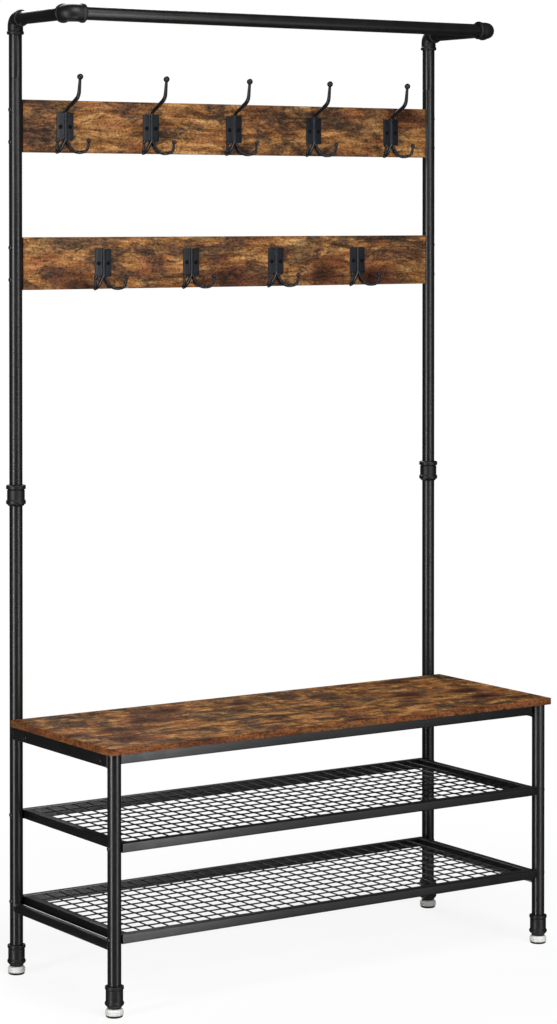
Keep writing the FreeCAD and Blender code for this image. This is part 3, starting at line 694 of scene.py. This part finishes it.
# The riser's spigot is inside the post, so only the part above the seam gets a skin.
SEAM_Z = span("rear_post_upper_left")[1][2]
for side, sign in SIDES.items():
    _, high, centre = span("riser_" + side)
    profile = soften([(0, 0), (TUBE_R, 0), (TUBE_R, high[2] - SEAM_Z), (0, high[2] - SEAM_Z)],
                     TUBE_END)
    build("riser_" + side + "_skin", [turned(profile, (centre[0], centre[1], SEAM_Z), ring=48)],
          [TUBE_COAT], replaces=["riser_" + side])
print("tubes", {name: faces for name, faces in made.items() if "skin" in name})

# %% [markdown]
# ## Couplings and elbows
# The fittings copy iron plumbing: a body a little fatter than the tube with a thick rounded ring
# at each mouth. A coupling is turned. An elbow is the same idea on a bent axis: the centre line
# is two straight legs joined by a quarter circle, and the radius changes along it.

# %% Couplings
for side in SIDES:
    low, high, centre = span("post_coupling_" + side)
    half = (high[2] - low[2]) / 2
    ring_r = width("post_coupling_" + side, 0) / 2
    body_r = ring_r - 1.9 * MM
    outline = [
        (TUBE_R - MM, -half), (body_r - 2.6 * MM, -half), (body_r - 0.4 * MM, -half + 3.2 * MM),
        (ring_r, -half + 4.0 * MM), (ring_r, -half + 10.6 * MM), (body_r, -half + 11.4 * MM),
        (body_r, half - 10.0 * MM), (body_r - 1.1 * MM, half - 9.4 * MM),
        (body_r - 1.1 * MM, half - 8.4 * MM), (ring_r, half - 7.6 * MM),
        (ring_r, half - 1.2 * MM), (ring_r - 1.8 * MM, half), (TUBE_R - MM, half),
    ]
    profile = soften(outline, 0.9 * MM, closed=True)
    build("coupling_" + side, [turned(profile, centre, ring=56, hollow=True)], [FITTING_COAT],
          replaces=["post_coupling_" + side])


# %% Elbows
def elbow(corner, first, second, bend, sockets, body_r, ring_r, ring_width):
    """P(u, v) = C(u) + r(u) (cos v N(u) + sin v B), with C two legs and a quarter circle.

    On the legs N points away from the other leg. On the bend, with O its centre and t its angle,
    C = O - bend (second cos t + first sin t) and N points from O to C.
    """
    first, second = np.asarray(first, float), np.asarray(second, float)
    arc = bend * np.pi / 2
    total = sockets[0] + arc + sockets[1]
    lip = 1.0 * MM
    outline = [
        (0, TUBE_R - MM), (0, ring_r - lip), (lip, ring_r), (ring_width - lip, ring_r),
        (ring_width, body_r), (ring_width + 2.0 * MM, body_r),
    ]
    mirrored = [(total - place, radius) for place, radius in outline[::-1]]
    ends = soften(outline, 0.8 * MM), soften(mirrored, 0.8 * MM)
    middle = np.linspace(ring_width + 2.5 * MM, total - ring_width - 2.5 * MM, 22)
    middle = np.stack([middle, np.full_like(middle, body_r)], axis=1)
    profile = np.concatenate([ends[0], middle, ends[1]])
    place, radius = profile[:, 0], profile[:, 1]
    turn = np.clip((place - sockets[0]) / bend, 0, np.pi / 2)[:, None]
    outward = -(second * np.cos(turn) + first * np.sin(turn))
    centre = corner + bend * (first + second) + bend * outward
    centre = centre + first * np.maximum(sockets[0] - place, 0)[:, None]
    centre = centre + second * np.maximum(place - sockets[0] - arc, 0)[:, None]
    angle = np.linspace(0, 2 * np.pi, 48, endpoint=False)[None, :, None]
    ring = np.cos(angle) * outward[:, None] + np.sin(angle) * np.cross(first, second)
    return patch(centre[:, None] + radius[:, None, None] * ring)


RING_WIDTH = 6.5 * MM
for side, sign in SIDES.items():
    build("rear_elbow_" + side + "_casting",
          [elbow((sign * LEG_X, POST_Y, TOP_Z), (0, 0, -1), (0, -1, 0), 15.0 * MM,
                 (15.0 * MM, 10.0 * MM), 14.75 * MM, 16.2 * MM, RING_WIDTH)],
          [FITTING_COAT], replaces=["rear_elbow_" + side])
    build("front_elbow_" + side + "_casting",
          [elbow((sign * LEG_X, RAIL_Y, TOP_Z), (0, 1, 0), (-sign, 0, 0), 16.5 * MM,
                 (9.5 * MM, 14.5 * MM), 16.25 * MM, 18.0 * MM, RING_WIDTH)],
          [FITTING_COAT], replaces=["front_elbow_" + side])
print("fittings", {name: faces for name, faces in made.items() if "elbow" in name})

# %% [markdown]
# ## Side frames and weld beads
# The seat side rail and the low stretcher are welded between the leg and the post. A weld is a
# small ripple of melted metal round the joint. Its path is where the two skins cross, found by
# formula, and a thin circle whose radius pulses is swept along it.

# %% Side rails, stretchers and welds
BEAD_R = 1.3 * MM
RIPPLE = 2.2 * MM


def bead(path, side, closed=True):
    """A swept weld bead: r(s) = r0 (1 + 0.16 cos(2 pi s / ripple)), with s the path's length."""
    path = np.asarray(path, float)
    steps = np.linalg.norm(np.diff(path, axis=0), axis=1)
    length = np.concatenate([[0], np.cumsum(steps)])
    radius = BEAD_R * (1 + 0.16 * np.cos(2 * np.pi * length / RIPPLE))
    return swept(path, radius, side, ring=8, closed=closed)


def saddle(centre_x, tube_y, towards, z, radius, steps=72):
    """Where a tube of that radius along Y meets an upright tube: y = sqrt(R^2 - x^2)."""
    angle = np.linspace(0, 2 * np.pi, steps, endpoint=False)
    x = radius * np.cos(angle)
    y = towards * np.sqrt(TUBE_R ** 2 - x ** 2)
    points = np.stack([centre_x + x, tube_y + y, z + radius * np.sin(angle)], axis=1)
    away = np.stack([x, y, np.zeros_like(x)], axis=1)
    return points, away


for side, sign in SIDES.items():
    low, high, centre = span("side_stretcher_" + side)
    stretcher_r = (high[2] - low[2]) / 2
    hidden = 6 * MM
    straight = turned([(0, 0), (stretcher_r, 0), (stretcher_r, POST_Y - LEG_Y - 2 * hidden),
                       (0, POST_Y - LEG_Y - 2 * hidden)],
                      (sign * LEG_X, LEG_Y + hidden, centre[2]), (0, 1, 0), ring=40)
    welds = [bead(*saddle(sign * LEG_X, y, towards, centre[2], stretcher_r))
             for y, towards in ((LEG_Y, 1), (POST_Y, -1))]
    build("stretcher_" + side, [straight] + welds, [TUBE_COAT],
          replaces=["side_stretcher_" + side])

    low, high, centre = span("seat_side_rail_" + side)
    rail = bar((low[0], LEG_Y + hidden, low[2]), (high[0], POST_Y - hidden, high[2]), 1,
               1.6 * MM)
    half = (high - low) / 2
    outline = rounded_rectangle(half[0] - 0.6 * MM, half[2], 1.6 * MM, 9)
    outline = outline[outline[:, 1] < half[2] - 0.5 * MM]
    order = np.argsort(np.arctan2(outline[:, 1] - half[2], outline[:, 0]))
    outline = outline[order]
    welds = []
    for y, towards in ((LEG_Y, 1), (POST_Y, -1)):
        reach = towards * np.sqrt(TUBE_R ** 2 - outline[:, 0] ** 2)
        path = np.stack([sign * LEG_X + outline[:, 0], y + reach, centre[2] + outline[:, 1]],
                        axis=1)
        away = np.stack([outline[:, 0], reach, np.zeros(len(outline))], axis=1)
        welds.append(bead(path, away, closed=False))
    build("side_rail_" + side, [rail] + welds, [TUBE_COAT],
          replaces=["seat_side_rail_" + side])


# %% [markdown]
# ## Seat rails and shelf frames
# Square tube is drawn through a die, so its long edges are rounded. Its short ends are sawn, and
# are either welded to a tab or to the next bar. `bar` gives all of these from two corners of a
# box. The frames' bars overlap in the corners, as mitred and ground tube does on the real thing.

# %% Seat rails and shelf frames
SQUARE_EDGE = 1.8 * MM
TAB = 3.0 * MM

SEAT_RAIL = 20.0 * MM
rail_ys = {"front": span("seat_front_rail")[0][1],
           "rear": span("seat_rear_rail")[1][1] - SEAT_RAIL}
for place, rail_y in rail_ys.items():
    low, high, _ = span("seat_" + place + "_rail")
    pieces = [bar((low[0] + TAB, rail_y, high[2] - SEAT_RAIL),
                  (high[0] - TAB, rail_y + SEAT_RAIL, high[2]), 0, SQUARE_EDGE, 0.5 * MM)]
    tab_low_y = max(low[1], LEG_Y + TUBE_R + 0.5 * MM)
    for outer, inner in ((low[0], low[0] + TAB), (high[0], high[0] - TAB)):
        pieces.append(bar((min(outer, inner), tab_low_y, low[2] + 4 * MM),
                          (max(outer, inner), high[1], high[2]), 0, 1.2 * MM, 0.4 * MM))
    build("seat_rail_" + place, pieces, [TUBE_COAT],
          replaces=["seat_" + place + "_rail"])

SHELF_BAR = width("upper_shelf_frame", 2)
for level in ("upper", "lower"):
    low, high, _ = span(level + "_shelf_frame")
    pieces = []
    for y in (low[1], high[1] - SHELF_BAR):
        pieces.append(bar((low[0], y, low[2]), (high[0], y + SHELF_BAR, high[2]), 0,
                          SQUARE_EDGE, 0.6 * MM))
    for x in (low[0], high[0] - SHELF_BAR):
        pieces.append(bar((x, low[1] + SHELF_BAR - 2 * MM, low[2]),
                          (x + SHELF_BAR, high[1] - SHELF_BAR + 2 * MM, high[2]), 1,
                          SQUARE_EDGE, 0.6 * MM))
    for x, towards in ((low[0] + SHELF_BAR, -1), (high[0] - SHELF_BAR, 1)):
        for y in (low[1] + SHELF_BAR, high[1] - SHELF_BAR):
            seam = np.linspace((x, y, high[2] - 0.3 * MM),
                               (x + towards * (SHELF_BAR - 1.5 * MM), y, high[2] - 0.3 * MM), 20)
            pieces.append(swept(seam, 0.8 * MM, (0, 0, 1), ring=8))
    build(level + "_frame", pieces, [TUBE_COAT],
          replaces=[level + "_shelf_frame"])
print("frames", made["upper_frame"], "faces")

# %% [markdown]
# ## Welded wire shelves
# The shelf is welded wire mesh: one layer of straight wires lies across another, and each
# crossing is pressed together while a current melts it. The two layers sink into each other there,
# so the wire dips a little at each weld. The dip is the only thing that needs points along a wire,
# so each wire has four points for each cell, and a ring of eight, which keeps the mesh light.

# %% Welded wire shelves
CELLS_X, CELLS_Y = 30, 11
POINTS_PER_CELL = 4
WELD_REACH = 3.0 * MM
PRESSED = 1.3               # the wires are this much thicker than half of the pressed mesh


def mesh_wire(start, end, cells, level, dip, radius):
    """z(s) = level + dip cos^8(pi s), where s counts the crossings: flat, with a dip at each."""
    s = np.linspace(0, cells, cells * POINTS_PER_CELL + 1)
    path = start + (end - start) * (s / cells)[:, None]
    path[:, 2] = level + dip * np.cos(np.pi * s) ** 8
    outward = (end - start) / np.linalg.norm(end - start) * WELD_REACH
    path = np.concatenate([[path[0] - outward], path, [path[-1] + outward]])
    return swept(path, radius, (0, 0, 1), ring=8)


for level_name in ("upper", "lower"):
    low, high, _ = span(level_name + "_shelf_mesh")
    wire_r = (high[2] - low[2]) / 4 * PRESSED
    x_lines = np.linspace(low[0], high[0], CELLS_X + 1)[1:-1]
    y_lines = np.linspace(low[1], high[1], CELLS_Y + 1)[1:-1]
    wires = []
    for y in y_lines:
        wires.append(mesh_wire(np.array([low[0], y, 0]), np.array([high[0], y, 0]), CELLS_X,
                               low[2] + wire_r, 0.2 * wire_r, wire_r))
    for x in x_lines:
        wires.append(mesh_wire(np.array([x, low[1], 0]), np.array([x, high[1], 0]), CELLS_Y,
                               high[2] - wire_r, -0.2 * wire_r, wire_r))
    build(level_name + "_wire_mesh", wires, [WIRE_COAT], sharp=80,
          replaces=[level_name + "_shelf_mesh"])
print("wire mesh", made["upper_wire_mesh"], "faces each")

# %% [markdown]
# ## Boards
# The seat and the two hook boards are cut from board with a printed face. A cut board gets a thin
# band glued round its edges, which never quite matches the face. So each board is one rolled-edge
# bar whose faces are given one of two materials by the way they look: out of the wide faces, or
# out of the edges.


# %% Boards
def board(name, node, wide_axis, face_wood, band_wood, edge):
    """A board with the face finish where its normal lies along wide_axis, else the band."""
    low, high, _ = span(node)
    piece = build(name, [bar(low, high, 0, edge)], [face_wood, band_wood],
                  replaces=[node])
    mesh = piece.data
    normals = np.empty(len(mesh.polygons) * 3, dtype=np.float32)
    mesh.polygons.foreach_get("normal", normals)
    facing = np.abs(normals.reshape(-1, 3)[:, wide_axis])
    mesh.polygons.foreach_set("material_index", (facing < 0.6).astype(np.int32))
    return piece


board("seat", "seat_board", 2, SEAT_WOOD, BAND_WOOD, 0.9 * MM)
board("upper_board", "upper_hook_board", 1, UPPER_WOOD, BAND_WOOD, 0.7 * MM)
board("lower_board", "lower_hook_board", 1, LOWER_WOOD, BAND_WOOD, 0.7 * MM)

# %% [markdown]
# ## Hooks
# Each hook is one casting: a plate with a rib down its middle, two splayed prongs below and, on
# the upper row, a tall one. The plate and rib share one cross-section, so they are a single
# surface with a fillet between them. Prongs are swept circles whose radius follows the path:
# thick where they leave the rib, slim in the middle, and a sphere at the tip, all in one skin.

# %% Hook castings
PLATE_THICKNESS = 2.0 * MM
PLATE_CORNER = 2.5 * MM
PLATE_ROLL = 0.6 * MM
RIB_R = 3.25 * MM
RIB_AXIS = RIB_R + 0.4 * MM
BALL_R = 4.5 * MM
HAT_BALL_R = 6.0 * MM


def plate_and_rib(x, face_y, low_z, high_z, half_width):
    """P(u, v): the cross-section of plate and rib, carried up from low_z to high_z.

    At a height d from either end, the plate is narrowed to w - R + sqrt(R^2 - (R - d)^2), which
    rounds its corners, and its front draws back by e - sqrt(e^2 - (e - d)^2), which rolls it.
    """
    arc = np.radians(np.linspace(-25, 205, 15))
    rib = np.stack([RIB_R * np.cos(arc), RIB_AXIS + RIB_R * np.sin(arc)], axis=1)
    front = soften([(half_width, PLATE_THICKNESS), (RIB_R + 1.6 * MM, PLATE_THICKNESS), rib[0]],
                   1.4 * MM, 6)
    back = [(-half_width, 0), (half_width, 0)]
    roll = soften([back[1], front[0], front[1]], PLATE_ROLL, 5)
    right = np.concatenate([[back[1]], roll[1:-1], front[1:]])
    section = np.concatenate([right, rib[1:-1], right[::-1] * (-1, 1)])
    t = np.linspace(0, np.pi / 2, 9)
    d = PLATE_CORNER * (1 - np.cos(t))
    limit = half_width - PLATE_CORNER + PLATE_CORNER * np.sin(t)
    draw = PLATE_ROLL - np.sqrt(np.maximum(PLATE_ROLL ** 2 - np.maximum(PLATE_ROLL - d, 0) ** 2, 0))
    heights = np.concatenate([low_z + d, (high_z - d)[::-1]])
    limit = np.concatenate([limit, limit[::-1]])[:, None]
    draw = np.concatenate([draw, draw[::-1]])[:, None]
    across = np.clip(section[:, 0][None], -limit, limit)
    out = section[:, 1][None]
    out = np.where(out > PLATE_THICKNESS * 0.4, out - draw, out)
    grid = np.stack([x + across, face_y - out,
                     np.broadcast_to(heights[:, None], across.shape)], axis=-1)
    return patch(grid)


def prong(corners, bend, radii, ball_r, side):
    """A swept circle with radius r(s) from thick root to slim neck, ending in a ball.

    The path is a smooth curve inside its corners. Round the ball's centre, at a distance q along
    the path, r = sqrt(R^2 - q^2).
    """
    path = soften(corners, bend, 12)
    steps = np.concatenate([[0], np.cumsum(np.linalg.norm(np.diff(path, axis=0), axis=1))])
    even = np.linspace(0, steps[-1], 34)
    path = np.stack([np.interp(even, steps, path[:, k]) for k in range(3)], axis=1)
    radius = np.interp(even / even[-1], np.linspace(0, 1, len(radii)), radii)
    start = np.pi - np.arcsin(radii[-1] / ball_r)
    turn = np.linspace(start, 0.12, 11)
    direction = (path[-1] - path[-2]) / np.linalg.norm(path[-1] - path[-2])
    tip = path[-1] + direction * (ball_r * np.cos(turn))[:, None]
    keep = even < even[-1] + ball_r * np.cos(start) - 0.3 * MM
    path = np.concatenate([path[keep], tip])
    radius = np.concatenate([radius[keep], ball_r * np.sin(turn)])
    return swept(path, radius, side, ring=16)


PRONG_PATH = np.array([(0, 0, 3), (13, 2, -20), (25, 7, -24.5), (33.5, 25, -20.5), (34, 28, -1.5)])


def lower_prong(root, sign):
    """One splayed prong: sideways and down from the rib's foot, then forward and up to its ball.

    Its corners are (sideways, forward, up) in PRONG_PATH, and its curve runs inside them.
    """
    corners = root + PRONG_PATH * MM * (sign, -1, 1)
    radii = np.array([3.3, 3.2, 3.0, 3.0, 3.0, 2.9, 2.6]) * MM
    return prong(corners, 14 * MM, radii, BALL_R, (0.35 * sign, 1, 0.2))


def top_prong(crown):
    """The tall prong: forward and up from the rib's head, thickest at its elbow, then upright."""
    out_rise = np.array([(0, -8), (0, 3), (50, 29), (55, 66)]) * MM
    corners = crown + np.stack([np.zeros(4), -out_rise[:, 0], out_rise[:, 1]], axis=1)
    radii = np.array([3.2, 3.3, 3.6, 3.9, 4.0, 3.9, 3.5, 3.1, 2.7]) * MM
    return prong(corners, 11 * MM, radii, HAT_BALL_R, (1, 0, 0))


def casting(name, node, plate_height, has_top):
    _, high, centre = span(node)
    face_y = high[1]
    plate_low = BASE_Z[node] + FOOT_RISE
    plate_height -= FOOT_RISE
    root = np.array([centre[0], face_y - RIB_AXIS, plate_low])
    pieces = [plate_and_rib(centre[0], face_y, plate_low, plate_low + plate_height,
                            PLATE_HALF)]
    pieces += [lower_prong(root, sign) for sign in SIDES.values()]
    if has_top:
        pieces.append(top_prong(root + np.array([0, 0, plate_height])))
    build(name, pieces, [HOOK_ENAMEL], replaces=[node], sharp=50)


PLATE_HEIGHT = 55.0 * MM
PLATE_HALF = 18.25 * MM
FOOT_RISE = 2.0 * MM        # the shown plate's foot ends this far above the CAD one's
PLATE_DROP = 23.0 * MM      # from the board's top edge to the plate's
hook_rows = {"hat_hook_": ("upper", 5, True), "coat_hook_": ("lower", 4, False)}
BASE_Z = {}
for prefix, (row, count, has_top) in hook_rows.items():
    board_top = span(row + "_hook_board")[1][2]
    for number in range(1, count + 1):
        BASE_Z[prefix + str(number)] = board_top - PLATE_DROP - PLATE_HEIGHT
        casting(prefix + str(number) + "_casting", prefix + str(number), PLATE_HEIGHT, has_top)
print("hooks", made["hat_hook_1_casting"], "and", made["coat_hook_1_casting"], "faces")

# %% [markdown]
# ## Screws and bolts
# A head is a turned dome with a tool's recess in it. Turning alone gives only round shapes, so
# the rings inside the mouth of the recess take another outline: a hexagon for a key, or a cross
# for a screwdriver. Both outlines are a radius as a function of the angle.


# %% Screws and bolts
def hexagon(angle):
    """The radius of a hexagon that is 1 across its half flats."""
    return 1 / np.cos((angle % (np.pi / 3)) - np.pi / 6)


def cross(angle):
    """The radius of a plus shape with arms 1 long and 0.34 of that wide."""
    turn = np.abs((angle + np.pi / 4) % (np.pi / 2) - np.pi / 4)
    return np.minimum(1 / np.cos(turn), 0.17 / np.maximum(np.sin(turn), 1e-3) + 0.02)


def screw_head(place, axis, radius, height, mouth, depth, outline, ring=48):
    """P(u, v) = place + h(u) axis + r(u, v) (cos v e1 + sin v e2).

    r is round on the dome, and mouth times the outline's radius in the recess.
    """
    dome = soften([(radius, 0), (radius, height * 0.45), (radius * 0.72, height * 0.92),
                   (radius * 0.5, height)], radius * 0.3, 5)
    angle = np.linspace(0, 2 * np.pi, ring, endpoint=False)
    round_rows = np.broadcast_to(dome[:, :1], (len(dome), ring))
    shape = outline(angle)[None]
    recess_r = mouth * np.array([1.06, 1.0, 0.97, 0.5]).reshape(-1, 1) * shape
    recess_h = np.array([height, height - 0.08 * depth, height - depth, height - 1.15 * depth])
    radii = np.concatenate([np.zeros((1, ring)), round_rows, recess_r])
    heights = np.concatenate([[0], dome[:, 1], recess_h])
    first, second = perpendicular(axis)
    direction = np.cos(angle)[:, None] * first + np.sin(angle)[:, None] * second
    grid = (np.asarray(place) + heights[:, None, None] * np.asarray(axis, float)
            + radii[:, :, None] * direction[None])
    return patch(grid)


BOLT_HEAD = (4.4 * MM, 2.0 * MM, 1.9 * MM, 1.2 * MM)     # radius, height, half flats, depth
HOOK_HEAD = (4.0 * MM, 1.6 * MM, 2.5 * MM, 1.2 * MM)
SEAT_HEAD = (4.2 * MM, 2.6 * MM, 2.1 * MM, 1.3 * MM)
BOARD_BOLT_SPREAD = 30.5 * MM
HOOK_SCREW_SPREAD = 10.5 * MM
HEAD_BITE = 0.25 * MM       # how far a flat head sinks into the round of a post
TAB_MARGIN = 10.0 * MM      # from a bolt to the edge of its tab
RAIL_BOLT_RISE = 9.5 * MM   # from the side rail's underside to its bolts
NUT_RADIUS, NUT_HEIGHT = 6.4 * MM, 5.0 * MM
SEAT_SCREW_XS = (-0.3, 0.0, 0.3)
SEAT_SCREW_SINK = 1.8 * MM

post_heads = []
for level in ("upper_shelf_frame", "lower_shelf_frame"):
    z = span(level)[2][2]
    post_heads += [(y, z) for y in (LEG_Y, POST_Y)]
for row in ("upper_hook_board", "lower_hook_board"):
    z = span(row)[2][2]
    post_heads += [(POST_Y, z + way * BOARD_BOLT_SPREAD) for way in (-1, 1)]
head_x = LEG_X + TUBE_R - HEAD_BITE
heads = [screw_head((sign * head_x, y, z), (sign, 0, 0), *BOLT_HEAD, hexagon)
         for y, z in post_heads for sign in SIDES.values()]
build("post_bolt_heads", heads, [BOLT_OXIDE], replaces=["post_bolts"])

low, high, _ = span("seat_side_rail_right")
rail_bolt_z = low[2] + RAIL_BOLT_RISE
outer_x = high[0]
inner_x = low[0] - TAB
front_bolt_y = span("seat_front_rail")[1][1] - TAB_MARGIN
rear_bolt_y = span("seat_rear_rail")[0][1] + TAB_MARGIN
print("rail bolts at y", round(front_bolt_y, 4), round(rear_bolt_y, 4))
nut = soften([(0, 0), (NUT_RADIUS, 0), (NUT_RADIUS, NUT_HEIGHT), (0, NUT_HEIGHT)], 0.6 * MM)
heads = []
for sign in SIDES.values():
    for y in (front_bolt_y, rear_bolt_y):
        heads.append(screw_head((sign * outer_x, y, rail_bolt_z), (sign, 0, 0), *BOLT_HEAD,
                                hexagon))
        heads.append(turned(nut, (sign * inner_x, y, rail_bolt_z), (-sign, 0, 0), ring=6))
build("rail_bolt_heads", heads, [BOLT_OXIDE], replaces=["seat_frame_bolts"])

heads = []
for prefix, (_, count, _) in hook_rows.items():
    for number in range(1, count + 1):
        _, high, centre = span(prefix + str(number))
        z = BASE_Z[prefix + str(number)] + PLATE_HEIGHT / 2
        for way in (-1, 1):
            place = (centre[0] + way * HOOK_SCREW_SPREAD, high[1] - PLATE_THICKNESS, z)
            heads.append(screw_head(place, (0, -1, 0), *HOOK_HEAD, cross, ring=64))
build("hook_screw_heads", heads, [SCREW_BLACK], replaces=["hook_screws"])

heads = []
for place, rail_y in rail_ys.items():
    under = span("seat_" + place + "_rail")[1][2] - SEAT_RAIL + SEAT_SCREW_SINK
    for x in SEAT_SCREW_XS:
        heads.append(screw_head((x, rail_y + SEAT_RAIL / 2, under), (0, 0, -1), *SEAT_HEAD,
                                cross, ring=64))
build("seat_screw_heads", heads, [BOLT_OXIDE], replaces=["seat_screws"])
print("heads", {name: faces for name, faces in made.items() if "heads" in name})

# %% [markdown]
# ## Feet
# The foot is a cap like the couplings, fixed to the leg, and a glide that screws out of it. The
# glide is a white moulding on a threaded rod, with a black pad below. The glide and its pad ride
# on the glide's own body. The rod, which turns as it moves, keeps its CAD mesh and is given zinc.

# %% Feet
FOOT_BORE = 5.0 * MM        # the hole that the threaded rod comes out of

# Every outline below is corners of (radius, height), from the bottom up.
for corner, (x, y) in LEG.items():
    low, high, _ = span("foot_collar_" + corner)
    base, top = low[2], high[2]
    ring_r = width("foot_collar_" + corner, 0) / 2
    outline = [
        (FOOT_BORE, base), (TUBE_R + 0.35 * MM, base), (TUBE_R + 0.35 * MM, base + 2.2 * MM),
        (ring_r - 1.0 * MM, base + 6.2 * MM), (ring_r, base + 7.4 * MM),
        (ring_r, base + 11.4 * MM), (ring_r - 1.7 * MM, base + 12.4 * MM),
        (ring_r - 1.7 * MM, top - 7.6 * MM), (ring_r - 2.5 * MM, top - 7.0 * MM),
        (ring_r - 2.5 * MM, top - 6.2 * MM), (ring_r - 0.3 * MM, top - 5.6 * MM),
        (ring_r - 0.3 * MM, top), (TUBE_R - MM, top), (TUBE_R - MM, base + 10 * MM),
        (FOOT_BORE, base + 3 * MM),
    ]
    build("collar_" + corner, [turned(soften(outline, 0.9 * MM, closed=True), (x, y, 0),
                                      ring=56, hollow=True)],
          [FITTING_COAT], replaces=["foot_collar_" + corner])

    low, high, _ = span("glide_base_" + corner)
    radius = (high[0] - low[0]) / 2
    outline = [(0, low[2]), (radius - 0.6 * MM, low[2]), (radius, low[2] + 1.0 * MM),
               (radius, high[2] - 3.4 * MM), (radius - 1.8 * MM, high[2] - 1.2 * MM),
               (radius - 4.6 * MM, high[2]), (0, high[2])]
    groove = [(radius, low[2] + 4.0 * MM), (radius - 0.5 * MM, low[2] + 4.4 * MM),
              (radius - 0.5 * MM, low[2] + 5.0 * MM), (radius, low[2] + 5.4 * MM)]
    outline = outline[:3] + groove + outline[3:]
    build("glide_" + corner + "_moulding", [turned(soften(outline, 0.7 * MM), (x, y, 0),
                                                   ring=56)],
          [WHITE], "glide_" + corner, ["glide_base_" + corner])

    low, high, _ = span("glide_pad_" + corner)
    radius = (high[0] - low[0]) / 2
    outline = [(0, low[2]), (radius - 1.6 * MM, low[2]), (radius, low[2] + 1.6 * MM),
               (radius, high[2]), (0, high[2])]
    build("pad_" + corner, [turned(soften(outline, 0.8 * MM), (x, y, 0), ring=56)],
          [RUBBER], "glide_" + corner, ["glide_pad_" + corner])

for node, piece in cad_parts.items():
    if node.startswith("glide_stem_") or node == "foot_nuts":
        piece.data.materials.clear()
        piece.data.materials.append(ZINC)
print("feet", made["collar_front_left"], "faces for a collar")

# %% [markdown]
# ## The end
# The last cell prints how many faces were made in all.

# %% Count the faces
print("faces in all", sum(made.values()))
